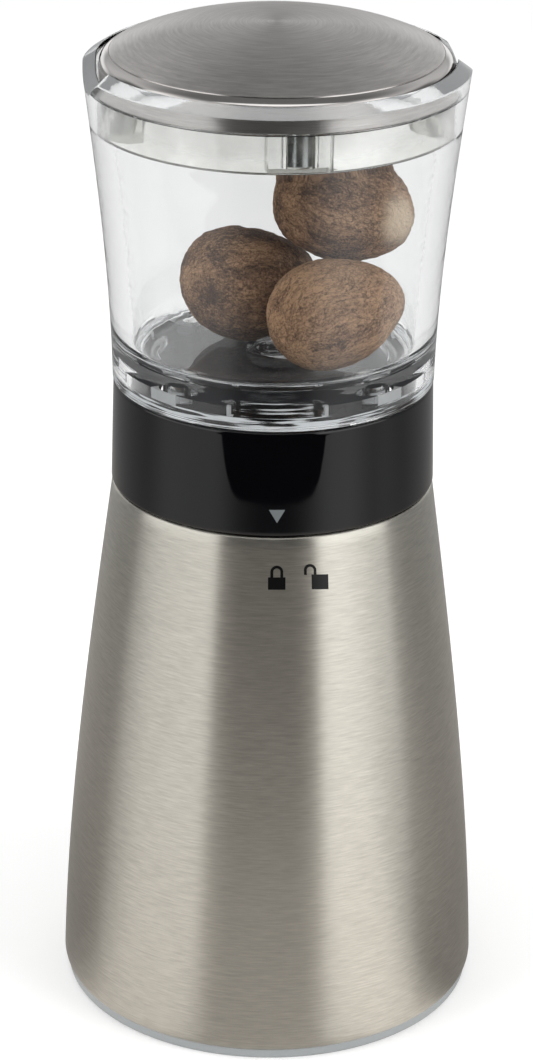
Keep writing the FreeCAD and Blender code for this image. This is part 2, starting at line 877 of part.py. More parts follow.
def drive_sleeve():
    tube = square_bar(sleeve_side, sleeve_corner, sleeve_bottom, sleeve_cap_bottom)
    bore_corner = sleeve_corner - sleeve_wall / 2
    bore = square_bar(sleeve_bore, bore_corner, sleeve_bottom - cut_past, sleeve_cap_bottom)
    cap = rod(sleeve_cap_radius, sleeve_cap_bottom, sleeve_top)
    half = pin_radius + turn_gap
    low = pin_level
    high = pin_level + claw_travel
    slot = block((-sleeve_side, sleeve_side), (-half, half), low, high)
    ends = [cross_rod(half, 2 * sleeve_side, level) for level in (low, high)]
    return join(cut(tube, bore, join(slot, ends)), cap)


def retaining_clip():
    inner = clip_groove_radius + screw_gap
    outer = neck_radius + clip_reach
    top = clip_bottom + clip_height
    start = clip_mouth_turn + clip_mouth_angle / 2
    clip = ring(inner, outer, clip_bottom, top, start, 360.0 - clip_mouth_angle)
    middle = (inner + outer) / 2
    clear_neck = rod(neck_radius + screw_gap, clip_bottom - cut_past, top + cut_past)
    ear = rod((outer - inner) / 2 + clip_ear_swell, clip_bottom, top, middle)
    ears = [turn(ear, clip_mouth_turn + side * clip_mouth_angle / 2) for side in (-1, 1)]
    return join(clip, [ear.cut(clear_neck) for ear in ears])


def clip_washer():
    return ring(neck_radius + seat_gap, bearing_bore + bearing_wall, clip_washer_bottom, clip_washer_top)


def plunger_spring():
    """Compression spring: a six-sided wire along a coil of short straight steps."""
    low = stem_top + spring_wire / 2
    high = sleeve_cap_bottom - spring_wire / 2
    count = spring_turns * spring_steps
    path = []
    for i in range(count + 1):
        angle = 2 * math.pi * i / spring_steps
        x = spring_mean_radius * math.cos(angle)
        y = spring_mean_radius * math.sin(angle)
        path.append(vec(x, y, low + (high - low) * i / count))
    wire = Part.makePolygon(path)
    heading = (path[1] - path[0]).normalize()
    corners = []
    for i in range(spring_wire_sides + 1):
        angle = 2 * math.pi * i / spring_wire_sides
        corners.append(vec(math.cos(angle), math.sin(angle), 0) * (spring_wire / 2))
    section = Part.makePolygon(corners)
    section.Placement = FreeCAD.Placement(path[0], FreeCAD.Rotation(vec(0, 0, 1), heading))
    return wire.makePipeShell([section], True, False, 1)


# Plunger: what slides in the square sleeve and holds the nutmeg


def plunger_stem():
    stem = square_bar(stem_side, stem_corner, stem_bottom, stem_top)
    spigot = rod(stem_spigot_radius, stem_top, stem_top + stem_spigot_height)
    hole_top = claw_plate_bottom + claw_screw_length + screw_end_gap
    screw_hole = rod(claw_screw_radius + screw_gap, stem_bottom - cut_past, hole_top)
    pin_hole = cross_rod(pin_radius + screw_gap, 2 * stem_side, pin_level)
    return cut(join(stem, spigot), screw_hole, pin_hole)


def stop_pin():
    return cross_rod(pin_radius, sleeve_side - 2 * seat_gap, pin_level)


def claw_holder():
    rim_inner = claw_plate_radius + turn_gap
    outline = lines(
        (0, claw_plate_top),
        (rim_inner, claw_plate_top),
        (rim_inner, claw_plate_bottom),
        (claw_holder_radius, claw_plate_bottom),
        (claw_holder_radius, claw_holder_top - claw_holder_edge),
        (claw_holder_radius - claw_holder_edge, claw_holder_top),
        (0, claw_holder_top),
        (0, claw_plate_top),
    )
    past_top = claw_holder_top + cut_past
    pocket = square_bar(stem_side + 2 * screw_gap, stem_corner, stem_bottom, past_top)
    hole = rod(claw_screw_radius + screw_gap, claw_plate_top - cut_past, past_top)
    return cut(turned(outline), pocket, hole)


def prong(radius, width, length):
    """A pointed finger bent down from the claw plate."""
    half = width / 2
    points = [
        (radius, -half, claw_plate_top),
        (radius, half, claw_plate_top),
        (radius, half, claw_plate_bottom),
        (radius, 0, claw_plate_bottom - length),
        (radius, -half, claw_plate_bottom),
    ]
    return prism(points, (-claw_plate_thickness, 0, 0))


def claw_plate():
    plate = rod(claw_plate_radius, claw_plate_bottom, claw_plate_top)
    outer = prong(claw_plate_radius, claw_prong_width, claw_prong_length)
    inner = prong(claw_inner_pitch_radius, claw_inner_width, claw_inner_length)
    prongs = around(outer, claw_prong_count, claw_prong_turn)
    prongs += around(inner, claw_inner_count, claw_inner_turn)
    hole = rod(claw_screw_radius + screw_gap, claw_plate_bottom - cut_past, claw_plate_top + cut_past)
    return cut(join(plate, prongs), hole)


def claw_screw():
    head = rod(claw_screw_head_radius, claw_plate_bottom - claw_screw_head_height, claw_plate_bottom)
    return join(rod(claw_screw_radius, claw_plate_bottom, claw_plate_bottom + claw_screw_length), head)


# Lid


def lid_dome():
    """Steel dome: a flat crown that bends over into a flank, and a straight side. The inside follows."""
    top = rim_top + lid_rise
    crown_centre = top - lid_crown_radius
    tilt = math.asin(lid_crown_half_width / lid_crown_radius)
    outward = vec(math.sin(tilt), 0, math.cos(tilt))
    meeting = vec(0, 0, crown_centre) + outward * lid_crown_radius
    chord = vec(lid_radius, 0, lid_shoulder) - meeting
    flank_radius = -chord.dot(chord) / (2 * chord.dot(outward))
    flank_centre = meeting - outward * flank_radius
    inner_side = lid_radius - lid_wall

    def face(inset, side):
        crown = lid_crown_radius - inset
        flank = flank_radius - inset
        end = math.asin((side - flank_centre.x) / flank)

        def on_crown(angle):
            return crown * math.sin(angle), crown_centre + crown * math.cos(angle)

        def on_flank(angle):
            return flank_centre.x + flank * math.sin(angle), flank_centre.z + flank * math.cos(angle)

        crown_arc = arc(on_crown(0), on_crown(tilt / 2), on_crown(tilt))
        flank_arc = arc(on_crown(tilt), on_flank((tilt + end) / 2), on_flank(end))
        return [crown_arc, flank_arc], on_flank(end)

    outside, shoulder = face(0, lid_radius)
    inside, inner_shoulder = face(lid_wall, inner_side)
    outline = outside + inside
    outline += lines(shoulder, (lid_radius, lid_bottom), (inner_side, lid_bottom), inner_shoulder)
    outline.append(line((0, top - lid_wall), (0, top)))
    return turned(outline)


def lid_plate():
    bottom = lid_bottom + lid_plate_inset
    return rod(lid_radius - lid_wall - screw_gap, bottom, bottom + lid_plate_thickness)


# Contents


def nutmeg(length, width, x, y, height, heading, tilt):
    """An egg in short cones, turned about its long axis, the stalk end fatter than the tip."""
    fit = (bowl_foot_radius - bowl_wall) / nut_bowl_radius
    length *= fit
    width *= fit
    outline = []
    for i in range(nut_steps + 1):
        angle = math.pi * i / nut_steps
        swell = 1 + nut_blunt * math.cos(angle)
        outline.append((width / 2 * math.sin(angle) * swell, -length / 2 * math.cos(angle)))
    outline[0] = (0, -length / 2)
    outline[-1] = (0, length / 2)
    egg = turned(lines(*outline, outline[0]))
    egg.rotate(vec(0, 0, 0), vec(0, 1, 0), 90 - tilt)
    egg.rotate(vec(0, 0, 0), vec(0, 0, 1), heading)
    egg.translate(vec(x * fit, y * fit, bowl_floor + height * fit))
    return egg


def nutmeg_left():
    return nutmeg(
        left_nut_length,
        left_nut_width,
        left_nut_x,
        left_nut_y,
        left_nut_height,
        left_nut_heading_angle,
        left_nut_tilt_angle,
    )


def nutmeg_right():
    return nutmeg(
        right_nut_length,
        right_nut_width,
        right_nut_x,
        right_nut_y,
        right_nut_height,
        right_nut_heading_angle,
        right_nut_tilt_angle,
    )


def nutmeg_top():
    return nutmeg(
        top_nut_length,
        top_nut_width,
        top_nut_x,
        top_nut_y,
        top_nut_height,
        top_nut_heading_angle,
        top_nut_tilt_angle,
    )


os.makedirs("parts", exist_ok=True)
pieces = [
    foot_ring,
    steel_shell,
    chamber_tube,
    bayonet_socket,
    grater_plate,
    grater_blades,
    blade_rivets,
    plate_screws,
    collar_ring,
    bayonet_carrier,
    thrust_washer,
    head_bowl,
    magnet_ring,
    lid_magnets,
    drive_hub,
    hub_screws,
    drive_sleeve,
    retaining_clip,
    clip_washer,
    plunger_spring,
    plunger_stem,
    stop_pin,
    claw_holder,
    claw_plate,
    claw_screw,
    lid_dome,
    lid_plate,
    nutmeg_left,
    nutmeg_right,
    nutmeg_top,
]
for make in pieces:
    keep(make.__name__, make())
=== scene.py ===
import json
import math

import bmesh
import bpy
from mathutils import Matrix, Vector, noise


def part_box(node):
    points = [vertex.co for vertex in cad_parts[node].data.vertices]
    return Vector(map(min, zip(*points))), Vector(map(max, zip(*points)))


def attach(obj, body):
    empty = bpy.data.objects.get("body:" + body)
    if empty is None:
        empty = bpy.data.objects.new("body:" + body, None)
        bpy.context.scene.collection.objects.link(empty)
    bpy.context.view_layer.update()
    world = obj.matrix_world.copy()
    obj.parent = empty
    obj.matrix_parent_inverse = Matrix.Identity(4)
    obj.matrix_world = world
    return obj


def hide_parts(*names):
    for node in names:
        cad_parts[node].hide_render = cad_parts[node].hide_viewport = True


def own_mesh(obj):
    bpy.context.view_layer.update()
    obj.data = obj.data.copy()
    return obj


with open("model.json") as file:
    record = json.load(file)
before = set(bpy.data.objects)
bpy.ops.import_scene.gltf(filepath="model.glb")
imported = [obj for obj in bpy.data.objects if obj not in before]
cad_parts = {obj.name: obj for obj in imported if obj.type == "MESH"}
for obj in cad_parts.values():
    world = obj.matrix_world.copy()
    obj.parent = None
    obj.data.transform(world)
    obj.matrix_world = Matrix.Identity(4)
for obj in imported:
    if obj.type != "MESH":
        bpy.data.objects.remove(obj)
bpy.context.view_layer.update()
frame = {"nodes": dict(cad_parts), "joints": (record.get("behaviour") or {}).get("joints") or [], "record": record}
mm = 0.001
print("frame loaded:", len(frame["nodes"]), "nodes")


class Wire:  # a socket that can be reckoned with
    def __init__(self, graph, socket):
        self.graph = graph
        self.socket = socket

    def maths(self, operation, *values):
        return self.graph.add("Math", {"operation": operation}, dict(enumerate(values)))

    def __add__(self, other):
        return self.maths("ADD", self, other)

    def __sub__(self, other):
        return self.maths("SUBTRACT", self, other)

    def __rsub__(self, other):
        return self.maths("SUBTRACT", other, self)

    def __mul__(self, other):
        return self.maths("MULTIPLY", self, other)

    def __pow__(self, other):
        return self.maths("POWER", self, other)

    def __abs__(self):
        return self.maths("ABSOLUTE", self)

    __radd__ = __add__
    __rmul__ = __mul__


class Graph:  # the nodes of a material or of the world
    def __init__(self, owner):
        self.owner = owner
        owner.use_nodes = True
        self.tree = owner.node_tree
        self.tree.nodes.clear()

    def add(self, kind, settings=None, sockets=None, output=0):
        node = self.tree.nodes.new("ShaderNode" + kind)
        for name, value in (settings or {}).items():
            if name == "stops":
                self.setStops(node.color_ramp, value)
            else:
                setattr(node, name, value)
        for name, value in (sockets or {}).items():
            if isinstance(value, Wire):
                self.tree.links.new(value.socket, node.inputs[name])
            elif isinstance(value, tuple) and node.inputs[name].type == "RGBA":
                node.inputs[name].default_value = (*value, 1.0)
            else:
                node.inputs[name].default_value = value
        return Wire(self, node.outputs[output]) if node.outputs else None

    def setStops(self, ramp, stops):
        ramp.elements[0].position, ramp.elements[1].position = stops[0][0], stops[-1][0]
        for place, _ in stops[1:-1]:
            ramp.elements.new(place)
        for element, (_, colour) in zip(ramp.elements, stops):
            element.color = (*colour, 1.0)

    def place(self):
        return self.add("TexCoord", output="Object")

    def part(self, vector, axis):
        return self.add("SeparateXYZ", {}, {0: vector}, axis)

    def measures(self):  # x, y, height and distance from the middle of the object, in mm
        place = self.stretch(self.place(), (1 / mm, 1 / mm, 1 / mm))
        x, y, z = [self.part(place, axis) for axis in "XYZ"]
        return x, y, z, (x * x + y * y) ** 0.5

    def bearing(self, x, y):  # degrees round from the front
        return self.add("Math", {"operation": "ARCTAN2"}, {0: x, 1: y * -1.0}) * (180.0 / math.pi)

    def stretch(self, vector, factors):
        return self.add("VectorMath", {"operation": "MULTIPLY"}, {0: vector, 1: factors})

    def grain(self, vector, scale, detail=2.0, roughness=0.5):
        sockets = {"Vector": vector, "Scale": scale, "Detail": detail, "Roughness": roughness}
        return self.add("TexNoise", {}, sockets)

    def ease(self, value, low, high):  # 0 below low, 1 above high, smooth between
        settings = {"interpolation_type": "SMOOTHSTEP"}
        return self.add("MapRange", settings, {"Value": value, "From Min": low, "From Max": high})

    def step(self, value, edge, soft):  # the same, about one value
        return self.ease(value, edge - soft, edge + soft)

    def band(self, value, rise, fall):  # up over the first stretch and down over the second
        return self.ease(value, *rise) - self.ease(value, *fall)

    def most(self, first, second):
        return self.add("Math", {"operation": "MAXIMUM"}, {0: first, 1: second})

    def blend(self, factor, first, second):
        return self.add("Mix", {"data_type": "RGBA"}, {0: factor, 6: first, 7: second}, 2)

    def bump(self, height, distance, strength=1.0):
        return self.add("Bump", {}, {"Height": height, "Distance": distance, "Strength": strength})

    def mixShaders(self, factor, first, second):
        return self.add("MixShader", {}, {0: factor, 1: first, 2: second})

    def ray(self, kind):
        return self.add("LightPath", output="Is " + kind + " Ray")

    def mirrored(self):  # 1 for light that a surface has thrown back, 0 for light let through
        return self.ray("Glossy") * (1 - self.ray("Transmission"))

    def principled(self, sockets):
        return self.add("BsdfPrincipled", {}, sockets)

    def finish(self, shader):
        self.add("OutputMaterial", {}, {"Surface": shader})
        return self.owner


def newMaterial(name):
    return Graph(bpy.data.materials.new(name))


def tinted(colour, factor):
    return tuple(c * factor for c in colour)


# Finishes

brushedSteel = {
    "colour": (0.60, 0.580, 0.522),
    "streak": 330.0,  # streaks to the metre along the brushing
    "fineness": 4000.0,  # and across it
    "contrast": 0.62,
    "cloud": 60.0,
    "cloudContrast": 0.08,
    "roughness": 0.33,
    "roughnessSpread": 0.12,
    "anisotropy": 0.94,
    "turn": 0.25,
    "relief": 0.003 * mm,
}
streakRange = (0.5, 1.25)  # the darkest and the brightest streak, as shares of a steel's colour


def streaked(g, colour, shade):
    low, high = streakRange
    return g.blend((shade - low) * (1 / (high - low)), tinted(colour, low), tinted(colour, high))


def makeBrushedSteel():
    g = newMaterial("brushedSteel")
    s = brushedSteel
    place = g.place()
    lines = g.grain(g.stretch(place, (s["streak"], s["streak"], s["fineness"])), 1.0, 3.0, 0.6)
    cloud = g.grain(place, s["cloud"], 3.0)
    shade = (lines - 0.5) * s["contrast"] + (cloud - 0.5) * s["cloudContrast"] + 1.0
    sockets = {
        "Base Color": streaked(g, s["colour"], shade),
        "Metallic": 1.0,
        "Roughness": (lines - 0.5) * s["roughnessSpread"] + s["roughness"],
        "Anisotropic": s["anisotropy"],
        "Anisotropic Rotation": s["turn"],
        "Normal": g.bump(lines, s["relief"], 0.6),
    }
    return g.finish(g.principled(sockets))


lidSteel = {
    "colour": (0.56, 0.54, 0.525),
    "streak": 220.0,
    "fineness": 3800.0,
    "contrast": 0.75,
    "roughness": 0.36,
    "roughnessSpread": 0.08,
    "edgeRoughness": 0.1,
    "anisotropy": 0.8,
    "turn": 0.25,
    "crown": (24.65, 24.85),  # the brushing ends between these radii and a polished edge begins
    "side": (151.0, 151.3),  # the side is brushed again below these heights
    "relief": 0.004 * mm,
}


def makeLidSteel():
    g = newMaterial("lidSteel")
    s = lidSteel
    x, y, z, radius = g.measures()
    along, across = s["streak"] * mm, s["fineness"] * mm
    rings = g.add("CombineXYZ", {}, {"X": x * along, "Y": y * along, "Z": (radius + z) * across})
    lines = g.grain(rings, 1.0, 3.0, 0.65)
    brushed = g.most(1 - g.ease(radius, *s["crown"]), 1 - g.ease(z, *s["side"]))
    smooth = s["edgeRoughness"]
    rough = brushed * (s["roughness"] - smooth) + smooth
    sockets = {
        "Base Color": streaked(g, s["colour"], (lines - 0.5) * brushed * s["contrast"] + 1.0),
        "Metallic": 1.0,
        "Roughness": rough + (lines - 0.5) * s["roughnessSpread"],
        "Anisotropic": s["anisotropy"],
        "Anisotropic Rotation": s["turn"],
        "Normal": g.bump(lines * brushed, s["relief"], 0.6),
    }
    return g.finish(g.principled(sockets))


blackGloss = {
    "colour": (0.001, 0.001, 0.0014),
    "smeared": 1.8,  # times the colour, where hands have smeared it
    "smear": 90.0,
    "roughness": 0.03,
    "roughnessSpread": 0.06,
    "waves": 260.0,
    "wave": 0.005 * mm,
}


def makeBlackGloss():
    g = newMaterial("blackGloss")
    s = blackGloss
    place = g.place()
    smear = g.grain(place, s["smear"], 4.0, 0.6)
    sockets = {
        "Base Color": g.blend(smear, s["colour"], tinted(s["colour"], s["smeared"])),
        "Roughness": (smear - 0.5) * s["roughnessSpread"] + s["roughness"],
        "IOR": 1.5,
        "Normal": g.bump(g.grain(place, s["waves"], 1.0), s["wave"], 0.5),
    }
    return g.finish(g.principled(sockets))


clearAcrylic = {
    "tint": (0.985, 0.992, 0.992),
    "ior": 1.49,
    "hazeRoughness": 0.05,
    "waves": (150.0, 150.0, 300.0),
    "wave": 0.03 * mm,
    "shade": (0.92, 0.92, 0.92),  # of the light that passes through to what stands behind
    "frost": (0.55, 0.57, 0.58),
    "frostSpread": 0.06,
    "frostRoughness": 0.34,
    "frostShare": 0.33,
    "frostBottom": 147.2,
    "frostRadius": 26.75,
    "frostSlope": (0.15, 0.4),  # how far a face has to look up
}
headFoot = {  # the marks under the floor of the head, with painted glints and painted shade
    "edge": (21.62, 21.67),  # radii inside the skirt
    "ceiling": (105.22, 105.26),  # heights just over the underside of the floor
    # painted shade on the underside of the floor starts at these heights
    "underside": (105.14, 105.18),
    "bottom": (102.22, 102.25),
    "columns": ((0.649, 0.659), (0.801, 0.811)),  # ground columns, by the share of x in the radius
    "columnInner": (17.0, 17.1),
    "columnShare": 0.85,
    "blockSides": ((0.55, 0.56), (0.62, 0.63)),  # ground sides, by the sine of twice the angle
    "blockOuter": (20.6, 20.8),
    "blockFaces": ((17.5, 17.55), (17.65, 17.7)),  # turned faces of the blocks, with painted glints
    "blockEnd": (0.5, 0.55),
    "turningGlint": (0.82, 0.85, 0.87),  # turning marks with painted glints: bright lines low on the skirt
    "turningGlintTop": (103.5, 103.6),
    "turningGlintStreak": 130.0,  # marks and painted glints to the metre round the skirt
    "turningGlintFineness": 2600.0,
    "turningGlintLines": (0.46, 0.6),
    # painted shade under the middle boss, within these radii and heights
    "bossRadius": (4.32, 4.36),
    "bossBottom": (103.8, 103.84),
    "hub": (0.012, 0.013, 0.016),  # painted shade: the dark of the hub close under the floor, painted on the glass
    "hubShare": 0.68,
}


def markHeadFoot(g):
    # Where the foot of the clear head is ground and turned, with painted glints, and where painted shade from the
    # hub lies under the floor
    s = headFoot
    x, y, z, radius = g.measures()
    inFoot = (1 - g.ease(radius, *s["edge"])) * (1 - g.ease(z, *s["ceiling"]))
    slant = abs(x * y * 2.0) * radius**-2.0  # the sine of twice the angle
    share = abs(x) * radius**-1.0
    low = 1 - g.ease(z, *s["turningGlintTop"])
    columns = g.band(share, *s["columns"]) * g.ease(radius, *s["columnInner"])
    blockSides = g.band(slant, *s["blockSides"]) * g.ease(radius, *s["blockOuter"])
    ground = g.most(blockSides, columns) * inFoot * (1 - low) * s["columnShare"]
    along, across = s["turningGlintStreak"] * mm, s["turningGlintFineness"] * mm
    rings = g.add("CombineXYZ", {}, {"X": x * along, "Y": y * along, "Z": (radius + z) * across})
    blockFaces = g.band(radius, *s["blockFaces"]) * (1 - g.ease(slant, *s["blockEnd"]))
    # turning marks with painted glints: bright lines low on the skirt, on the block faces and on the bottom
    turnedGlints = g.most(g.most(low, blockFaces) * inFoot, 1 - g.ease(z, *s["bottom"]))
    turnedGlints = turnedGlints * g.ease(g.grain(rings, 1.0, 2.0), *s["turningGlintLines"])
    # painted shade: the underside of the floor and of the middle boss are painted dark
    onBoss = (1 - g.ease(radius, *s["bossRadius"])) * (1 - g.ease(z, *s["bossBottom"]))
    shaded = g.most(g.ease(z, *s["underside"]), onBoss) * inFoot * s["hubShare"]
    return ground, turnedGlints, shaded


def finishGlass(g, shader):
    # Light for what stands behind passes straight through
    through = g.add("BsdfTransparent", {}, {"Color": clearAcrylic["shade"]})
    return g.finish(g.mixShaders(g.ray("Shadow"), shader, through))


def makeClearAcrylic():
    g = newMaterial("clearAcrylic")
    s = clearAcrylic
    place = g.place()
    haze = g.grain(place, 900.0, 4.0, 0.7)
    sockets = {
        "Base Color": s["tint"],
        "Roughness": g.ease(haze, 0.55, 0.8) * s["hazeRoughness"],
        "IOR": s["ior"],
        "Transmission Weight": 1.0,
        "Normal": g.bump(g.grain(g.stretch(place, s["waves"]), 1.0, 2.0), s["wave"]),
    }
    glass = g.principled(sockets)
    ground, turnedGlints, shaded = markHeadFoot(g)
    # The cut face of the rim is matt
    up = g.part(g.add("TexCoord", output="Normal"), "Z")
    _, _, z, radius = g.measures()
    onRim = g.step(radius, s["frostRadius"], 0.1) * g.ease(up, *s["frostSlope"])
    onRim = onRim * g.step(z, s["frostBottom"], 0.1)
    ground = g.most(ground, onRim * s["frostShare"])
    spread = s["frostSpread"]
    mottle = g.blend(haze, tinted(s["frost"], 1 - spread), tinted(s["frost"], 1 + spread))
    sockets = {
        # turning marks with painted glints, in a bright colour
        "Base Color": g.blend(turnedGlints, mottle, headFoot["turningGlint"]),
        "Roughness": s["frostRoughness"],
        "IOR": s["ior"],
    }
    matt = g.principled(sockets)
    # painted shade: a dark matt finish stands for the hub's shade under the floor
    dark = g.principled({"Base Color": headFoot["hub"], "Specular IOR Level": 0.0})
    shader = g.mixShaders(g.most(ground, turnedGlints), g.mixShaders(shaded, glass, dark), matt)
    return finishGlass(g, shader)


clearInsert = {
    "tint": (0.95, 0.95, 0.92),
    "hazeRoughness": 0.08,
    "cloud": 130.0,
    "milk": (0.66, 0.66, 0.62),
    "milkRoughness": 0.4,
    "milkShare": 0.24,
    "waves": (260.0, 260.0, 120.0),
    "wave": 0.06 * mm,
}


def makeClearInsert():
    g = newMaterial("clearInsert")
    s = clearInsert
    place = g.place()
    cloud = g.grain(place, s["cloud"], 2.0)
    sockets = {
        "Base Color": s["tint"],
        "Roughness": cloud * s["hazeRoughness"],
        "IOR": clearAcrylic["ior"],
        "Transmission Weight": 1.0,
        "Normal": g.bump(g.grain(g.stretch(place, s["waves"]), 1.0, 2.0), s["wave"]),
    }
    glass = g.principled(sockets)
    milk = g.principled({"Base Color": s["milk"], "Roughness": s["milkRoughness"]})
    return finishGlass(g, g.mixShaders(g.ease(cloud, 0.3, 0.7) * s["milkShare"], glass, milk))


def makePlastic(name, colour, roughness, fleck, relief, gloss=0.5):
    g = newMaterial(name)
    place = g.place()
    grain = g.grain(place, 2600.0, 2.0)
    cloud = g.grain(place, 70.0, 3.0)
    deep, light = tinted(colour, 1 - fleck), tinted(colour, 1 + fleck)
    sockets = {
        "Base Color": g.blend(grain * 0.5 + cloud * 0.5, deep, light),
        "Roughness": (cloud - 0.5) * 0.12 + roughness,
        "Specular IOR Level": gloss,
        "Normal": g.bump(grain, relief * mm, 0.5),
    }
    return g.finish(g.principled(sockets))


def makeMetal(name, colour, roughness, streaks, relief):
    g = newMaterial(name)
    place = g.place()
    lines = g.grain(g.stretch(place, streaks), 1.0, 3.0, 0.6)
    cloud = g.grain(place, 240.0, 3.0)
    sockets = {
        "Base Color": g.blend(lines * 0.6 + cloud * 0.4, tinted(colour, 0.8), colour),
        "Metallic": 1.0,
        "Roughness": (cloud - 0.5) * 0.15 + roughness,
        "Normal": g.bump(lines, relief * mm, 0.5),
    }
    return g.finish(g.principled(sockets))


nutSkin = {
    "crack": (0.022, 0.011, 0.006),
    "stops": (0.435, 0.5, 0.575),
    "shades": ((0.100, 0.058, 0.038), (0.30, 0.172, 0.098), (0.56, 0.345, 0.20)),
    "bare": (0.86, 0.69, 0.50),
    "bareShare": 0.85,
    "bareRagged": 0.006,
    "warp": 150.0,
    "warpReach": (0.0028, 0.003, 0.003),
    "fibres": (700.0, 2300.0, 2300.0),  # to the metre, along the nut and across it
    "bands": (70.0, 300.0, 300.0),
    "patches": 130.0,
    "specks": 3300.0,
    "weights": (0.34, 0.26, 0.22, 0.24),  # of the fibres, bands, patches and specks
    "middle": -0.022,
    "broad": {"scale": (260.0, 620.0, 620.0), "width": 0.035, "share": 0.4},
    "fine": {"scale": (900.0, 1900.0, 1900.0), "width": 0.07, "share": 0.5},
    "roughness": 0.75,
    "roughnessSpread": 0.3,
    "gloss": 0.2,
    "relief": 0.22 * mm,
}


def makeNutSkin(name, nut):
    g = newMaterial(name)
    s = nutSkin
    place = g.place()
    moved = g.add("VectorMath", {"operation": "ADD"}, {0: place, 1: nut["shift"]})
    warp = g.add("TexNoise", {}, {"Vector": moved, "Scale": s["warp"], "Detail": 3.0}, "Color")
    bend = {0: warp, 1: s["warpReach"], 2: moved}
    bent = g.add("VectorMath", {"operation": "MULTIPLY_ADD"}, bend)

    def wrinkles(lines):
        # Dark lines where a stretched cloud crosses its middle value
        cloud = g.grain(g.stretch(bent, lines["scale"]), 1.0, 2.0, 0.5)
        return 1 - g.ease(abs(cloud - 0.5), 0.0, lines["width"])

    fibres = g.grain(g.stretch(bent, s["fibres"]), 1.0, 5.0, 0.75)
    bands = g.grain(g.stretch(bent, s["bands"]), 1.0, 3.0, 0.55)
    patches = g.grain(bent, s["patches"], 3.0, 0.6)
    specks = g.grain(place, s["specks"], 3.0, 0.7)
    broad, fine = wrinkles(s["broad"]), wrinkles(s["fine"])
    clouds = zip((fibres, bands, patches, specks), s["weights"])
    shade = sum(cloud * weight for cloud, weight in clouds) + (nut["tone"] + s["middle"])
    skin = g.add("ValToRGB", {"stops": list(zip(s["stops"], s["shades"]))}, {0: shade})
    skin = g.blend(broad * s["broad"]["share"], skin, s["crack"])
    skin = g.blend(fine * g.ease(patches, 0.35, 0.6) * s["fine"]["share"], skin, s["crack"])
    away = g.add("VectorMath", {"operation": "DISTANCE"}, {0: place, 1: nut["bare"]}, "Value")
    size = nut["bareSize"]
    bare = 1 - g.ease(away + (patches - 0.5) * s["bareRagged"], size * 0.2, size)
    relief = fibres - broad * 0.5 - fine * 0.3 + specks * 0.3
    sockets = {
        "Base Color": g.blend(bare * s["bareShare"], skin, s["bare"]),
        "Roughness": (fibres - 0.5) * s["roughnessSpread"] + s["roughness"],
        "Specular IOR Level": s["gloss"],
        "Normal": g.bump(relief, s["relief"], 0.9),
    }
    return g.finish(g.principled(sockets))


plastics = {  # relief in mm
    "grey_foot": {"colour": (0.39, 0.41, 0.415), "roughness": 0.42, "fleck": 0.04, "relief": 0.004},
    "black_moulding": {
        "colour": (0.004, 0.004, 0.0045),
        "roughness": 0.26,
        "fleck": 0.2,
        "relief": 0.01,
        "gloss": 0.25,
    },
    "pale_nylon": {"colour": (0.62, 0.60, 0.53), "roughness": 0.45, "fleck": 0.05, "relief": 0.006},
}
metals = {  # streaks to the metre along x, y and z
    "grater_steel": {
        "colour": (0.62, 0.62, 0.61),
        "roughness": 0.24,
        "streaks": (300, 2600, 2600),
        "relief": 0.003,
    },
    "screw_steel": {
        "colour": (0.66, 0.66, 0.65),
        "roughness": 0.28,
        "streaks": (500, 500, 4000),
        "relief": 0.006,
    },
    "spring_steel": {
        "colour": (0.5, 0.5, 0.5),
        "roughness": 0.26,
        "streaks": (800, 800, 800),
        "relief": 0.003,
    },
    "magnet_nickel": {
        "colour": (0.50, 0.53, 0.56),
        "roughness": 0.26,
        "streaks": (400, 400, 400),
        "relief": 0.003,
    },
}


def makeFinishes():
    made = {
        "body_steel": makeBrushedSteel(),
        "lid_steel": makeLidSteel(),
        "black_gloss": makeBlackGloss(),
        "clear_acrylic": makeClearAcrylic(),
    }
    for make, finishes in ((makePlastic, plastics), (makeMetal, metals)):
        for slot, finish in finishes.items():
            first, last = slot.split("_")
            made[slot] = make(first + last.title(), **finish)
    return made


materials = makeFinishes()
insertMaterial = makeClearInsert()
print("finishes made:", len(materials))


# Making pieces

past = 1.0  # how far a cutting piece goes past the face it cuts, in mm


def span(low, high, steps):
    return [low + (high - low) * i / steps for i in range(steps + 1)]


def curvedSide(side, bottom, top):
    # Radius at a height, on a cubic with its four poles evenly spaced from bottom to top
    poles = [
        side["footRadius"],
        side["footRadius"] + side["footEase"],
        side["topRadius"] + side["topEase"],
        side["topRadius"],
    ]

    def radius(z):
        t = (z - bottom) / (top - bottom)
        weights = [(1 - t) ** 3, 3 * t * (1 - t) ** 2, 3 * t * t * (1 - t), t**3]
        return sum(w * p for w, p in zip(weights, poles))

    return radius


def drawn(start, pole, end, steps):
    # Points on a curve from start to end that is drawn towards a pole
    times = span(0.0, 1.0, steps)
    return [tuple(start * (1 - t) ** 2 + pole * (2 * t * (1 - t)) + end * t**2) for t in times]


def rounded(corners, steps=4):
    # Softens every corner that has a third number, its size in mm
    outline = []
    for i, corner in enumerate(corners):
        if len(corner) < 3:
            outline.append(tuple(corner))
            continue
        here = Vector(corner[:2])
        before = Vector(corners[i - 1][:2]) - here
        after = Vector(corners[(i + 1) % len(corners)][:2]) - here
        start = here + before.normalized() * corner[2]
        end = here + after.normalized() * corner[2]
        outline += drawn(start, here, end, steps)
    return outline


def supported(outline, near=0.3):
    # Adds points close to the ends of long stretches, so that their shading stays flat
    closer = []
    for i, point in enumerate(outline):
        here, there = Vector(point), Vector(outline[(i + 1) % len(outline)])
        closer.append(point)
        if (there - here).length > 4 * near:
            step = (there - here).normalized() * near
            closer += [tuple(here + step), tuple(there - step)]
    return closer


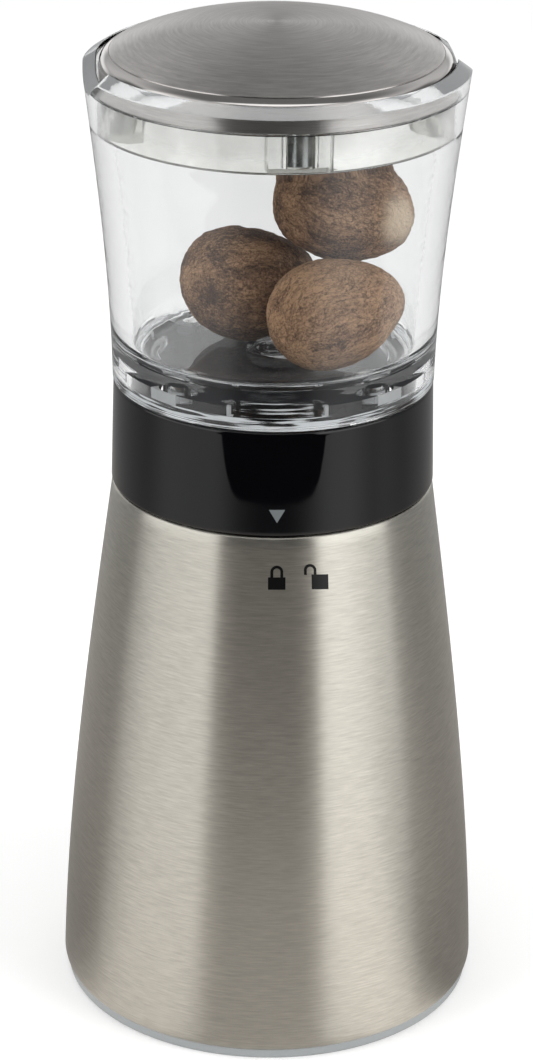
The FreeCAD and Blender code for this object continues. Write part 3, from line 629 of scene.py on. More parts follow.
def meshPiece(name, vertices, faces, sharp=35.0):
    mesh = bpy.data.meshes.new(name)
    mesh.from_pydata([tuple(c * mm for c in v) for v in vertices], [], faces)
    shape = bmesh.new()
    shape.from_mesh(mesh)
    bmesh.ops.remove_doubles(shape, verts=shape.verts, dist=0.0005 * mm)
    bmesh.ops.dissolve_degenerate(shape, edges=shape.edges, dist=0.0002 * mm)
    bmesh.ops.recalc_face_normals(shape, faces=shape.faces)
    shape.to_mesh(mesh)
    shape.free()
    mesh.shade_smooth()
    mesh.set_sharp_from_angle(angle=math.radians(sharp))
    piece = bpy.data.objects.new(name, mesh)
    bpy.context.collection.objects.link(piece)
    return piece


def spin(name, outlineAt, angles, sharp=35.0):
    # Closed outlines of (radius, height), one at each angle in degrees
    vertices = []
    faces = []
    for angle in angles:
        turn = math.radians(angle)
        outline = outlineAt(angle)
        vertices += [(r * math.cos(turn), r * math.sin(turn), z) for r, z in outline]
    rows = len(outline)
    for i in range(len(angles)):
        here = i * rows
        there = (i + 1) % len(angles) * rows
        for j in range(rows):
            k = (j + 1) % rows
            faces.append((here + j, there + j, there + k, here + k))
    return meshPiece(name, vertices, faces, sharp)


def lathe(name, outline, steps=256, sharp=35.0):
    return spin(name, lambda angle: outline, span(0.0, 360.0, steps)[:-1], sharp)


def tubeFaces(rings, sides):
    # Between closed rings of points that follow one another
    faces = []
    for i in range(rings - 1):
        for j in range(sides):
            k = (j + 1) % sides
            faces.append((i * sides + j, i * sides + k, (i + 1) * sides + k, (i + 1) * sides + j))
    return faces


def combined(piece, tool, operation):
    modifier = piece.modifiers.new("combine", "BOOLEAN")
    modifier.operation = operation
    modifier.solver = "EXACT"
    modifier.object = tool
    graph = bpy.context.evaluated_depsgraph_get()
    result = bpy.data.meshes.new_from_object(piece.evaluated_get(graph))
    piece.modifiers.remove(modifier)
    piece.data = result
    bpy.data.objects.remove(tool)
    return piece


def softened(piece):
    piece.data.shade_smooth()
    piece.data.set_sharp_from_angle(angle=math.radians(30.0))
    return piece


def dress(piece, body, slot, material=None, nodes=()):
    piece.data.materials.clear()
    piece.data.materials.append(material or materials[slot])
    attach(piece, body)
    if nodes:
        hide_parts(*nodes)
    return piece


def levels(node):
    low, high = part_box(node)
    return low[2] / mm, high[2] / mm


# Foot

foot = {
    "radius": 32.45,
    "inner": 23.1,
    "grooveInner": 24.9,
    "grooveOuter": 30.2,
    "grooveDepth": 0.6,
    "spigotOuter": 31.3,
    "spigotInner": 29.8,
    "height": 1.55,
    "edge": 0.3,
    "topEdge": 0.12,
    "fineEdge": 0.15,
}


def makeFoot():
    s = foot
    bottom, top = levels("foot_ring")
    groove, deck, fine = bottom + s["grooveDepth"], bottom + s["height"], s["fineEdge"]
    corners = [
        (s["inner"], bottom, fine),
        (s["grooveInner"], bottom, fine),
        (s["grooveInner"], groove, fine),
        (s["grooveOuter"], groove, fine),
        (s["grooveOuter"], bottom, fine),
        (s["radius"], bottom, s["edge"]),
        (s["radius"], deck, s["topEdge"]),
        (s["spigotOuter"], deck),
        (s["spigotOuter"], top, fine),
        (s["spigotInner"], top, fine),
        (s["spigotInner"], deck),
        (s["inner"], deck, fine),
    ]
    piece = lathe("footRing", supported(rounded(corners)))
    dress(piece, "base", "grey_foot", nodes=["foot_ring"])


makeFoot()

# Body

shell = {
    "footRadius": 33.1,
    "footEase": -0.9,
    "topRadius": 24.7,
    "topEase": 3.74,
    "wall": 0.7,
    "rollHeight": 1.45,
    "rollInset": 0.6,
    "rollPole": (0.05, 0.35),  # as shares of that inset and height
    "lipRadius": 31.4,
    "deckRadius": 22.6,
    "deckEdge": 0.3,
    "deckBevel": 0.09,
}
shellBottom, shellTop = levels("steel_shell")
rollTop = shellBottom + shell["rollHeight"]
shellRadius = curvedSide(shell, rollTop, shellTop)


def makeBody():
    s = shell
    radius, wall, bevel = s["footRadius"], s["wall"], s["deckBevel"]
    inward, upward = s["rollPole"]
    start = Vector((radius - s["rollInset"], shellBottom))
    pole = Vector((radius - s["rollInset"] * inward, shellBottom + s["rollHeight"] * upward))
    outline = drawn(start, pole, Vector((shellRadius(rollTop), rollTop)), 8)
    outline += [(shellRadius(z), z) for z in span(rollTop, shellTop - s["deckEdge"], 48)[1:]]
    neck = s["topRadius"]
    outline += [(neck - bevel, shellTop - bevel), (neck - s["deckEdge"], shellTop)]
    outline += [(s["deckRadius"], shellTop), (s["deckRadius"], shellTop - wall)]
    outline += [(shellRadius(z) - wall, z) for z in span(shellTop - wall, rollTop, 24)]
    outline += [(radius - wall, shellBottom + wall)]
    outline += [(s["lipRadius"], shellBottom + wall), (s["lipRadius"], shellBottom)]
    dress(lathe("bodyShell", outline), "base", "body_steel", nodes=["steel_shell"])


makeBody()

# Locking collar

collar = {
    "footRadius": 24.84,
    "topRadius": 24.44,
    "edge": 0.4,
    "bore": 23.0,
    "ledgeRadius": 21.6,
    "ledgeTop": 10.4,  # above the foot of the collar
    "ledgeHeight": 1.4,
    "fineEdge": 0.1,
}
collarBottom, collarTop = levels("collar_ring")


def collarRadius(z):
    s = collar
    share = (z - collarBottom - s["edge"]) / (collarTop - collarBottom - 2 * s["edge"])
    return s["footRadius"] + (s["topRadius"] - s["footRadius"]) * share


def makeCollar():
    s = collar
    ledge, fine = collarBottom + s["ledgeTop"], s["fineEdge"]
    low = ledge - s["ledgeHeight"]
    corners = [
        (s["bore"], collarBottom, fine),
        (s["footRadius"], collarBottom, s["edge"]),
        (s["topRadius"], collarTop, s["edge"]),
        (s["bore"], collarTop, fine),
        (s["bore"], ledge),
        (s["ledgeRadius"], ledge, fine),
        (s["ledgeRadius"], low, fine),
        (s["bore"], low - s["bore"] + s["ledgeRadius"]),
    ]
    piece = lathe("lockingCollar", supported(rounded(corners, 6)))
    dress(piece, "collar", "black_gloss", nodes=["collar_ring"])


makeCollar()

# Clear head

bowl = {
    "footRadius": 24.55,
    "footEase": 0.26,
    "topRadius": 28.8,
    "topEase": -2.02,
    "wall": 3.3,
    "floor": 4.8,
    "floorThickness": 1.8,
    "fillet": 3.2,
    "skirtRadius": 21.6,
    "bevelHeight": 1.4,
    "recessRadius": 26.6,
    "recessDepth": 4.2,
    "seatRadius": 25.9,
    "seatDepth": 5.8,
    "wallDrop": 0.3,  # from the seat to the smooth part of the inner wall
    "dimpleRadius": 4.2,
    "dimpleDepth": 0.5,
    "dimpleEdge": 0.06,
    "dimpleSlope": 0.45,
    "bossRadius": 4.3,
    "bossFoot": 1.5,
    "dimpleRings": (2.5, 1.1),  # round ridges in the dimple
    "dimpleRingHeight": 0.22,
    "blockInner": 17.6,
    "blockHalf": 18.0,  # degrees
    "blockDrop": 1.5,
    "screwBossRadius": 3.0,
    "screwBossOverlap": 0.3,
    "screwPitch": 18.3,
    "screwHole": 1.5,
    "screwHoleTop": 3.8,
    "edge": 0.22,
    "smallEdge": 0.12,
    "footBevel": (0.03, 0.04),
    "recessEdge": 0.15,
    "fineEdge": 0.1,
    "overlap": 0.4,  # of the blocks with the floor and the skirt
}
notch = {
    "angle": 14.3,
    "depth": 3.1,
    "fall": 0.9,
    "longSide": 17.0,
    "shortSide": 9.0,
    "valley": 9.5,
    "brow": 6.5,
}
bowlFoot, bowlTop = levels("head_bowl")
bowlEdge = bowlTop - bowl["bevelHeight"]
bowlUnder = bowlFoot + bowl["floor"] - bowl["floorThickness"]
bowlRadius = curvedSide(bowl, bowlFoot, bowlEdge)


def notchHeight(radius, angle):
    # Height of the nearer finger notch at a place on the rim
    s = notch
    away = (angle - s["angle"] + 90.0) % 180.0 - 90.0
    along = radius * math.cos(math.radians(away))
    across = radius * math.sin(math.radians(away))
    if across <= -s["longSide"] or across >= s["shortSide"]:
        return bowlTop + 1.0
    if across < 0:  # the long side is an S-curve
        low, high = 0.0, 1.0
        for _ in range(24):
            t = (low + high) / 2
            reach = 3 * s["valley"] * t * (1 - t) ** 2 + 3 * (s["longSide"] - s["brow"]) * t * t * (1 - t)
            if reach + s["longSide"] * t**3 < -across:
                low = t
            else:
                high = t
        drop = s["depth"] * (1 - 3 * t**2 + 2 * t**3)
    else:
        bend = (s["shortSide"] ** 2 + s["depth"] ** 2) / (2 * s["depth"])
        drop = bend - math.sqrt(bend**2 - (s["shortSide"] - across) ** 2)
    start = bowl["recessRadius"] - 1.0
    lift = s["fall"] * (bowl["topRadius"] - start)
    return bowlEdge + lift - drop - s["fall"] * (along - start)


def bowlRim(angle):
    # From the outer wall over the rim into the recess, softened at both edges
    s = bowl
    outerRim = min(bowlEdge, notchHeight(s["topRadius"], angle))
    innerRim = min(bowlTop, notchHeight(s["recessRadius"], angle))
    bottom = bowlFoot + s["smallEdge"]
    outline = [(bowlRadius(z), z) for z in span(bottom, outerRim - s["edge"], 44)]
    outer = Vector((bowlRadius(outerRim), outerRim))
    inner = Vector((s["recessRadius"], innerRim))
    across = (inner - outer).normalized() * s["edge"]
    up = (outer - Vector((bowlRadius(outerRim - 1.0), outerRim - 1.0))).normalized() * s["edge"]
    outline += drawn(outer - up, outer, outer + across, 5)[1:]
    return outline + drawn(inner - across, inner, inner - Vector((0.0, s["edge"])), 5)


def bowlInside():
    # From the recess down the inner wall to the middle of the floor
    s = bowl
    floor = bowlFoot + s["floor"]
    recess = bowlTop - s["recessDepth"]
    seat = recess - s["seatDepth"]
    edge = s["recessEdge"]
    outline = [(s["recessRadius"], recess + edge), (s["recessRadius"] - edge, recess)]
    outline += [(s["seatRadius"], recess), (s["seatRadius"], seat)]
    wallTop = bowlRadius(seat) - s["wall"]
    outline += [(wallTop + s["smallEdge"], seat), (wallTop, seat - s["smallEdge"])]
    filletTop = floor + s["fillet"]
    outline += [(bowlRadius(z) - s["wall"], z) for z in span(seat - s["wallDrop"], filletTop, 36)]
    start, corner = outline[-1][0], bowlRadius(floor) - s["wall"]
    for t in span(0, math.pi / 2, 12)[1:]:
        r = corner - s["fillet"] * (1 - math.cos(t)) + (start - corner) * (1 - math.sin(t))
        outline.append((r, filletTop - s["fillet"] * math.sin(t)))
    side = s["dimpleRadius"]
    outline += [(r, floor) for r in span(outline[-1][0], side + s["fineEdge"], 3)[1:]]
    dimple = floor - s["dimpleDepth"]
    outline += [(side - s["fineEdge"], floor - s["dimpleEdge"]), (side - s["dimpleSlope"], dimple)]
    slope = s["dimpleRingHeight"]
    for radius in s["dimpleRings"]:
        outline += [(radius + 2 * slope, dimple), (radius + slope, dimple + slope)]
        outline += [(radius, dimple + slope), (radius - slope, dimple)]
    return outline + [(0.0, dimple)]


def bowlUnderside():
    s = bowl
    boss, bossFoot, fine = s["bossRadius"], bowlFoot + s["bossFoot"], s["fineEdge"]
    outline = [(0.0, bossFoot), (boss - fine, bossFoot), (boss, bossFoot + fine)]
    outline += [(boss, bowlUnder), (s["blockInner"], bowlUnder), (s["skirtRadius"], bowlUnder)]
    return outline + [(s["skirtRadius"], bowlFoot + fine), (s["skirtRadius"] + fine, bowlFoot)]


def bowlOutline(angle):
    radius = bowlRadius(bowlFoot)
    inward, upward = bowl["footBevel"]
    start = [(radius - bowl["smallEdge"], bowlFoot), (radius - inward, bowlFoot + upward)]
    return start + bowlRim(angle) + bowlInside() + bowlUnderside()


def clearBlock(middle):
    s = bowl
    low, high = bowlUnder - s["blockDrop"], bowlUnder + s["overlap"]
    outer = s["skirtRadius"] + s["overlap"]
    corners = [(s["blockInner"], low), (outer, low), (outer, high), (s["blockInner"], high)]
    vertices = []
    faces = []
    angles = span(middle - s["blockHalf"], middle + s["blockHalf"], 12)
    for angle in angles:
        turn = math.radians(angle)
        vertices += [(r * math.cos(turn), r * math.sin(turn), z) for r, z in corners]
    last = 4 * (len(angles) - 1)
    for a in range(0, last, 4):
        b = a + 4
        faces += [(a + j, b + j, b + (j + 1) % 4, a + (j + 1) % 4) for j in range(4)]
    faces += [(3, 2, 1, 0), (last, last + 1, last + 2, last + 3)]
    return meshPiece("block", vertices, faces)


def post(radius, bottom, top, x, y, steps=48):
    outline = [(0.0, bottom), (radius, bottom), (radius, top), (0.0, top)]
    piece = lathe("post", outline, steps)
    piece.data.transform(Matrix.Translation((x * mm, y * mm, 0.0)))
    return piece


def makeBowl():
    s = bowl
    angles = [notch["angle"] + i for i in range(360)]
    piece = spin("clearHead", bowlOutline, angles, 30.0)
    bossBottom, holeTop = bowlFoot + s["bossFoot"], bowlFoot + s["screwHoleTop"]
    for quarter in range(4):
        piece = combined(piece, clearBlock(90.0 * quarter), "UNION")
        turn = math.radians(45.0 + 90.0 * quarter)
        x, y = s["screwPitch"] * math.cos(turn), s["screwPitch"] * math.sin(turn)
        boss = post(s["screwBossRadius"], bossBottom, bowlUnder + s["screwBossOverlap"], x, y)
        piece = combined(piece, boss, "UNION")
        hole = post(s["screwHole"], bossBottom - past, holeTop, x, y)
        piece = combined(piece, hole, "DIFFERENCE")
    dress(softened(piece), "head", "clear_acrylic", nodes=["head_bowl"])


makeBowl()
print("foot, body, collar and head made")

# Lid

lid = {
    "radius": 26.3,
    "sideHeight": 3.85,
    "crownRadius": 110.0,
    "crownHalfWidth": 12.0,
    "wall": 0.9,
    "edge": 1.3,
    "fineEdge": 0.12,
    "step": (24.7, 24.85),  # a fine step between the brushed face and its rolled edge
    "stepWidth": 0.04,
    "stepDrops": (0.08, -0.1, -0.06),  # over, in and after it
}


def makeLid():
    s = lid
    bottom, top = levels("lid_dome")
    shoulder = Vector((s["radius"], bottom + s["sideHeight"]))
    centre = Vector((0.0, top - s["crownRadius"]))
    tilt = math.asin(s["crownHalfWidth"] / s["crownRadius"])
    outward = Vector((math.sin(tilt), math.cos(tilt)))
    meeting = centre + outward * s["crownRadius"]
    chord = shoulder - meeting
    flank = -chord.length_squared / (2 * chord.dot(outward))
    flankCentre = meeting - outward * flank

    def face(inset, side, steps):
        end = math.asin((side - flankCentre.x) / (flank - inset))
        arcs = [(centre, s["crownRadius"], span(0, tilt, steps))]
        arcs.append((flankCentre, flank, span(tilt, end, steps)[1:]))
        points = []
        for middle, radius, angles in arcs:
            for a in angles:
                points.append(tuple(middle + Vector((math.sin(a), math.cos(a))) * (radius - inset)))
        return points

    side, fine = s["radius"] - s["wall"], s["fineEdge"]
    stepInner, stepOuter = s["step"]
    over, into, after = s["stepDrops"]
    outer = face(0, s["radius"], 60)
    corners = [c for c in outer if c[0] < stepInner]
    landing = min(outer, key=lambda c: abs(c[0] - stepOuter))[1]
    corners += [(stepInner, landing + over), (stepInner + s["stepWidth"], landing + into)]
    corners += [(stepOuter, landing + after), (shoulder.x, shoulder.y + after, s["edge"])]
    corners += [(s["radius"], bottom, fine), (side, bottom, fine)]
    corners += reversed(face(s["wall"], side, 12))
    piece = lathe("lidDome", supported(rounded(corners, 10)))
    dress(piece, "lid", "lid_steel", nodes=["lid_dome"])


makeLid()

# Ring in the mouth of the head, with bosses for the magnets

insert = {
    "inner": 24.2,
    "outer": 25.8,
    "count": 4,
    "turn": 6.3,
    "bossWidth": 9.0,
    "bossInner": 19.4,
    "bossOuter": 25.0,
    "bossEdge": 1.2,
    "pocket": 2.55,
    "pocketPitch": 22.6,
    "pocketFloor": 0.7,
    "edge": 0.2,
    "inset": 0.05,  # of the bosses from the faces of the ring
}


def slab(outline, bottom, top):
    count = len(outline)
    vertices = [(x, y, z) for z in (bottom, top) for x, y in outline]
    faces = [tuple(reversed(range(count))), tuple(range(count, 2 * count))]
    faces += [(i, (i + 1) % count, (i + 1) % count + count, i + count) for i in range(count)]
    return meshPiece("slab", vertices, faces)


def makeInsert():
    s = insert
    bottom, top = levels("magnet_ring")
    corners = [(s["inner"], bottom), (s["outer"], bottom), (s["outer"], top), (s["inner"], top)]
    piece = lathe("magnetInsert", rounded([(*corner, s["edge"]) for corner in corners]))
    half = s["bossWidth"] / 2
    outline = [
        (s["bossInner"], -half, s["bossEdge"]),
        (s["bossOuter"], -half),
        (s["bossOuter"], half),
        (s["bossInner"], half, s["bossEdge"]),
    ]
    for i in range(s["count"]):
        angle = math.radians(s["turn"] + 360.0 / s["count"] * i)
        boss = slab(rounded(outline, 8), bottom + s["inset"], top - s["inset"])
        boss.data.transform(Matrix.Rotation(angle, 4, "Z"))
        piece = combined(piece, boss, "UNION")
        x, y = s["pocketPitch"] * math.cos(angle), s["pocketPitch"] * math.sin(angle)
        pocket = post(s["pocket"], bottom + s["pocketFloor"], top + past, x, y)
        piece = combined(piece, pocket, "DIFFERENCE")
    dress(softened(piece), "head", "clear_acrylic", insertMaterial, ["magnet_ring"])


makeInsert()

# Spring of the plunger

spring = {
    "radius": 4.0,  # to the middle of the wire
    "wire": 1.0,
    "turns": 7,
    "closedTurns": 0.75,  # flat at both ends
    "closedPitch": 0.05,
    "steps": 40,
    "sides": 12,
}


def makeSpring():
    s = spring
    low, high = levels("plunger_spring")
    half, sides, flat = s["wire"] / 2, s["sides"], s["closedTurns"]
    start, end = low + half, high - half
    rise = (end - start - 2 * s["closedPitch"]) / (s["turns"] - 2 * flat)
    count = s["turns"] * s["steps"]
    vertices = []
    for i in range(count + 1):
        done = i / s["steps"]
        left = s["turns"] - done
        lowest = start + s["closedPitch"] * min(1.0, done / flat)
        highest = end - s["closedPitch"] * min(1.0, left / flat)
        z = min(max(start + s["closedPitch"] + (done - flat) * rise, lowest), highest)
        turn = 2 * math.pi * done
        for j in range(sides):
            side = 2 * math.pi * j / sides
            radius = s["radius"] + half * math.cos(side)
            vertices.append((radius * math.cos(turn), radius * math.sin(turn), z + half * math.sin(side)))
    faces = tubeFaces(count + 1, sides)
    faces += [tuple(range(sides)), tuple(count * sides + j for j in range(sides))]
    piece = meshPiece("spring", vertices, faces)
    dress(piece, "head", "spring_steel", None, ["plunger_spring"])
    joint = next(j for j in frame["joints"] if j["name"] == "claw_slide")
    travel = joint["range_m"][1] / mm
    1 - travel / (high - low)
    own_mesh(piece)


makeSpring()

# Nutmegs

nuts = {
    "nutmegLeft": {
        "node": "nutmeg_left",
        "size": (21.9, 17.7),
        "centre": (-3.7, 3.3, 116.1),
        "heading": 13.4,
        "tilt": -5.5,
        "shift": (0.031, 0.007, 0.019),
        "tone": -0.025,
        "bare": (0.03, 0.0, 0.0),
        "bareSize": 0.002,
    },
    "nutmegRight": {
        "node": "nutmeg_right",
        "size": (20.3, 16.6),
        "centre": (8.5, -10.1, 116.1),
        "heading": 16.4,
        "tilt": 16.3,
        "shift": (0.113, 0.071, 0.043),
        "tone": 0.036,
        "bare": (0.03, 0.0, 0.0),
        "bareSize": 0.002,
    },
    "nutmegTop": {
        "node": "nutmeg_top",
        "size": (22.0, 17.7),
        "centre": (10.4, 1.3, 129.1),
        "heading": -6.2,
        "tilt": -14.3,
        "shift": (0.211, 0.157, 0.093),
        "tone": 0.0,
        "bare": (0.0082, -0.0048, 0.0012),
        "bareSize": 0.0052,
    },
}
nutForm = {  # in mm
    "seed": 1,
    "blunt": 0.12,  # how much fatter the stalk end is, as a share
    "lumps": 0.75,
    "lumpScale": 0.11,
    "lumpShift": 0.35,
    "bend": 1.6,
    "bendScale": 0.25,
    "veins": 0.09,
    "veinScale": (0.16, 0.6, 0.6),
    "veinSharpness": 5.0,
    "wrinkles": 0.05,
    "wrinkleScale": (0.6, 2.2, 2.2),
    "rings": 160,
    "steps": 200,
}


def nutPoint(point, shift):
    # A point of the plain form, moved by lumps, veins and wrinkles
    form = nutForm
    seed = point + shift
    lump = noise.noise(seed * form["lumpScale"]) - form["lumpShift"]
    bent = seed + noise.noise_vector(seed * form["bendScale"]) * form["bend"]
    vein = abs(noise.noise(bent * Vector(form["veinScale"])))
    wrinkle = noise.noise(bent * Vector(form["wrinkleScale"]))
    push = form["lumps"] * lump + form["wrinkles"] * wrinkle
    push -= form["veins"] * (1 - min(1.0, vein * form["veinSharpness"]))
    return tuple(point + point.normalized() * push)


def makeNut(name, nut):
    rings, steps = nutForm["rings"], nutForm["steps"]
    length, width = nut["size"]
    shift = Vector(nut["shift"]) * 1000.0
    vertices = []
    for i in range(rings + 1):
        t = math.pi * i / rings
        half = width / 2 * math.sin(t) * (1 + nutForm["blunt"] * math.cos(t))
        for j in range(steps):
            turn = 2 * math.pi * j / steps
            point = Vector((-length / 2 * math.cos(t), half * math.cos(turn), half * math.sin(turn)))
            vertices.append(nutPoint(point, shift))
    for j in range(steps):  # both ends close in a point
        vertices[j] = vertices[0]
        vertices[rings * steps + j] = vertices[rings * steps]
    piece = meshPiece(name, vertices, tubeFaces(rings + 1, steps), 180.0)
    heading = Matrix.Rotation(math.radians(nut["heading"]), 4, "Z")
    tilt = Matrix.Rotation(math.radians(-nut["tilt"]), 4, "Y")
    piece.matrix_world = Matrix.Translation(Vector(nut["centre"]) * mm) @ heading @ tilt
    dress(piece, "head", "nutmeg", makeNutSkin(name + "Skin", nut), [nut["node"]])


noise.seed_set(nutForm["seed"])  # the same wrinkles on every run
for nutName, nut in nuts.items():
    makeNut(nutName, nut)
print("lid and nutmegs made")

# Marks printed on the collar and the body

marks = {  # angles in degrees, the rest in mm
    "ink": (0.002, 0.002, 0.002),
    "pale": (0.13, 0.145, 0.15),
    "thickness": 0.02,
    "sunk": 0.05,
    "bar": 0.42,  # of the bows
    "front": 270.0,
}
triangle = {"top": 89.9, "bottom": 87.8, "width": 2.4}
padlocks = {
    "closedLock": {
        "angle": 270.1,
        "low": 77.4,
        "high": 79.3,
        "width": 2.6,
        "archLeft": -0.95,
        "archWidth": 1.9,
        "archTop": 81.1,
        "legDrop": 0.0,
        "lean": 0.0,
    },
    "openLock": {
        "angle": 284.75,
        "low": 77.1,
        "high": 79.4,
        "width": 2.6,
        "archLeft": -2.43,
        "archWidth": 1.9,
        "archTop": 81.0,
        "legDrop": 0.1,
        "lean": -0.1,
    },
}


def stripMesh(name, pairs, angle, radiusAt, lean=0.0):
    # A thin closed strip between pairs of points: distances round from the angle, and heights
    vertices = []
    for pair in pairs:
        for lift in (marks["thickness"], -marks["sunk"]):
            for across, height in pair:
                z = height + lean * across
                radius = radiusAt(z) + lift
                turn = math.radians(angle) + across / radiusAt(z)
                vertices.append((radius * math.cos(turn), radius * math.sin(turn), z))
    faces = []
    last = 4 * (len(pairs) - 1)
    for a in range(0, last, 4):
        for j, k in ((0, 1), (1, 3), (3, 2), (2, 0)):
            faces.append((a + j, a + k, a + 4 + k, a + 4 + j))
    faces += [(0, 2, 3, 1), (last, last + 1, last + 3, last + 2)]
    return meshPiece(name, vertices, faces)


def arch(left, right, low, high, footLeft):
    # The bow of a padlock: up, round and down. footLeft is where its left leg ends.
    bar = marks["bar"]
    middle, outer = (left + right) / 2, (right - left) / 2
    springing = high - outer
    pairs = [((left, footLeft), (left + bar, footLeft))]
    for t in span(math.pi, 0.0, 20):
        ends = [(middle + r * math.cos(t), springing + r * math.sin(t)) for r in (outer, outer - bar)]
        pairs.append(tuple(ends))
    return pairs + [((right, low), (right - bar, low))]


def makeMarks():
    ink = makePlastic("printInk", marks["ink"], 0.3, 0.2, 0.002)
    pale = makePlastic("printPale", marks["pale"], 0.5, 0.05, 0.002)
    half = triangle["width"] / 2
    slope = (triangle["top"] - triangle["bottom"]) / half
    pairs = []
    for across in span(-half, half, 12):
        pairs.append(((across, triangle["top"]), (across, triangle["bottom"] + slope * abs(across))))
    piece = stripMesh("lockPointer", pairs, marks["front"], collarRadius)
    dress(piece, "collar", "grey_foot", pale)
    for name, m in padlocks.items():
        half = m["width"] / 2
        block = [((across, m["high"]), (across, m["low"])) for across in span(-half, half, 8)]
        left = m["archLeft"]
        bow = arch(left, left + m["archWidth"], m["high"], m["archTop"], m["high"] - m["legDrop"])
        for part, pairs in (("Body", block), ("Bow", bow)):
            piece = stripMesh(name + part, pairs, m["angle"], shellRadius, m["lean"])
            dress(piece, "base", "black_gloss", ink)


makeMarks()

# Pieces that keep the shape of the frame

for row in frame["record"]["subparts"]:
    node = softened(frame["nodes"][row["node"]])
    node.data.materials.clear()
    node.data.materials.append(materials.get(row["material_slot"], materials["black_moulding"]))
print("frame dressed")

# Floor, light and camera

studioFloor = {
    "colour": (0.8, 0.8, 0.8),
    "glow": 0.215,
    "fade": (450.0, 750.0),  # the backdrop takes over between these
    "glassEdge": (-45.0, -25.0),  # glass shows the plain floor from here to the back
    "size": 3000.0,
}
table = {  # what metal sees of the floor, in mm, degrees round from the front and shares of its light
    "near": (0.58, 0.548, 0.52),
    "far": (0.09, 0.5),  # in front and at the sides
    "farBearing": (5.0, 45.0),
    "farStart": (190.0, 255.0),
    "back": (-60.0, 60.0),
    # painted shadow of the object on the table behind it
    "behind": 0.6,
    "lobes": [  # side, where it rises and falls, and how much brighter it is there
        (-1.0, (18.0, 38.0), (66.0, 96.0), 0.45),
        (1.0, (12.0, 38.0), (50.0, 74.0), 0.8),
    ],
    "ends": [  # painted shadow of the object on the table: the same, close to the object only
        (-1.0, (58.0, 82.0), (130.0, 150.0), -0.38),
        (1.0, (46.0, 70.0), (130.0, 150.0), -0.42),
    ],
    "paintedShadowReach": (50.0, 115.0),
    "turn": 1.0,
    "reach": 268.0,
    "bow": 45.0,  # how much farther it reaches at the bearing beside
    "bowBearing": 36.0,
    "bowPower": 8.0,
    "bowSoft": 2.0,
}


def makeTable(g, x, y, reach):
    # Metal sees a bright table that ends in a dark bay in front, with painted shadow of the object close by and
    # behind it
    s = table
    bearing = g.bearing(x, y) + s["turn"]
    aside = abs(bearing)
    front, sides = s["far"]
    far = g.ease(aside, *s["farBearing"]) * (sides - front) + front
    far = g.add("CombineColor", {}, {0: far, 1: far, 2: far})
    colour = g.blend(g.ease(reach, *s["farStart"]), s["near"], far)
    lobes, ends = [
        sum(g.band(bearing * side, rise, fall) * gain for side, rise, fall, gain in s[kind])
        for kind in ("lobes", "ends")
    ]
    # painted shadow of the object on the table, close to it
    lobes = lobes + ends * (1 - g.ease(reach, *s["paintedShadowReach"]))
    # painted shadow of the object on the table behind it
    back = 1 - g.ease(y, *s["back"]) * (1 - s["behind"])
    bright = g.add("VectorMath", {"operation": "SCALE"}, {0: colour, 3: back * (lobes + 1)})
    bay = (aside * (1 / s["bowBearing"])) ** s["bowPower"] * s["bow"] + s["reach"]
    lit = g.add("Emission", {}, {"Color": bright})
    return g.mixShaders(g.step(reach - bay, 0.0, s["bowSoft"]), lit, g.add("BsdfTransparent"))


def makeFloor():
    g = newMaterial("floorWhite")
    s = studioFloor
    x, y, _, reach = g.measures()
    plain = g.add("BsdfDiffuse", {}, {"Color": s["colour"]})
    glow = g.add("Emission", {}, {"Color": (1.0, 1.0, 1.0), "Strength": s["glow"]})
    lit = g.mixShaders(g.ray("Camera"), plain, g.add("AddShader", {}, {0: plain, 1: glow}))
    forward = g.ray("Transmission") * (1 - g.ease(y, *s["glassEdge"]))
    shown = g.mixShaders(g.most(g.mirrored(), forward), lit, makeTable(g, x, y, reach))
    nothing = g.add("BsdfTransparent")
    seen = g.most(g.ray("Camera"), g.ray("Transmission"))
    shown = g.mixShaders(g.ease(reach, *s["fade"]) * seen, shown, nothing)
    under = g.add("NewGeometry", output="Backfacing")
    material = g.finish(g.mixShaders(under, shown, nothing))
    size = s["size"]
    corners = [(-size, -size, 0), (size, -size, 0), (size, size, 0), (-size, size, 0)]
    piece = meshPiece("studioFloor", corners, [(0, 1, 2, 3)])
    piece.data.materials.append(material)


room = {  # degrees round from the front, heights and depths of the direction, and strengths
    "level": 0.62,  # that lights the object
    "leftPanel": {"bearing": (-102.0, -38.0), "opening": (0.0, -7.0), "low": 0.86, "high": 1.45},
    "rightPanel": {"bearing": (29.0, 83.0), "opening": (12.0, 0.0), "low": 0.75, "high": 1.9},
    "panelSoft": 2.5,
    "panelFoot": (-0.32, -0.22),  # an inner edge draws back near the floor, by its opening
    "panelRise": (-0.35, 0.1),
    "between": 0.012,
    "betweenBearing": ((-60.0, -55.0), (55.0, 60.0)),
    "beside": 0.3,
    "behind": (0.42, 0.72),  # straight behind and to its sides
    "behindBearing": (145.0, 175.0),
    "behindHeight": (0.1, 0.3),
    "flank": 0.75,  # how much darker it is there
    "flankBearing": ((86.0, 92.0), (116.0, 135.0)),
    "flankTop": (0.4, 0.6),
    "backdrop": 1.15,
    "backdropBearing": (125.0, 150.0),
    "backdropHeight": ((-0.1, 0.0), (0.1, 0.25)),
    "ceiling": 0.2,
    "ceilingHeight": (0.55, 0.9),
    "topPanel": 1.8,
    "topPanelHeight": (0.8, 0.86),
    "topPanelDepth": (-0.32, -0.22),
    "glassDepth": (-0.35, -0.05),  # glass shows a white backdrop from here to the back
}


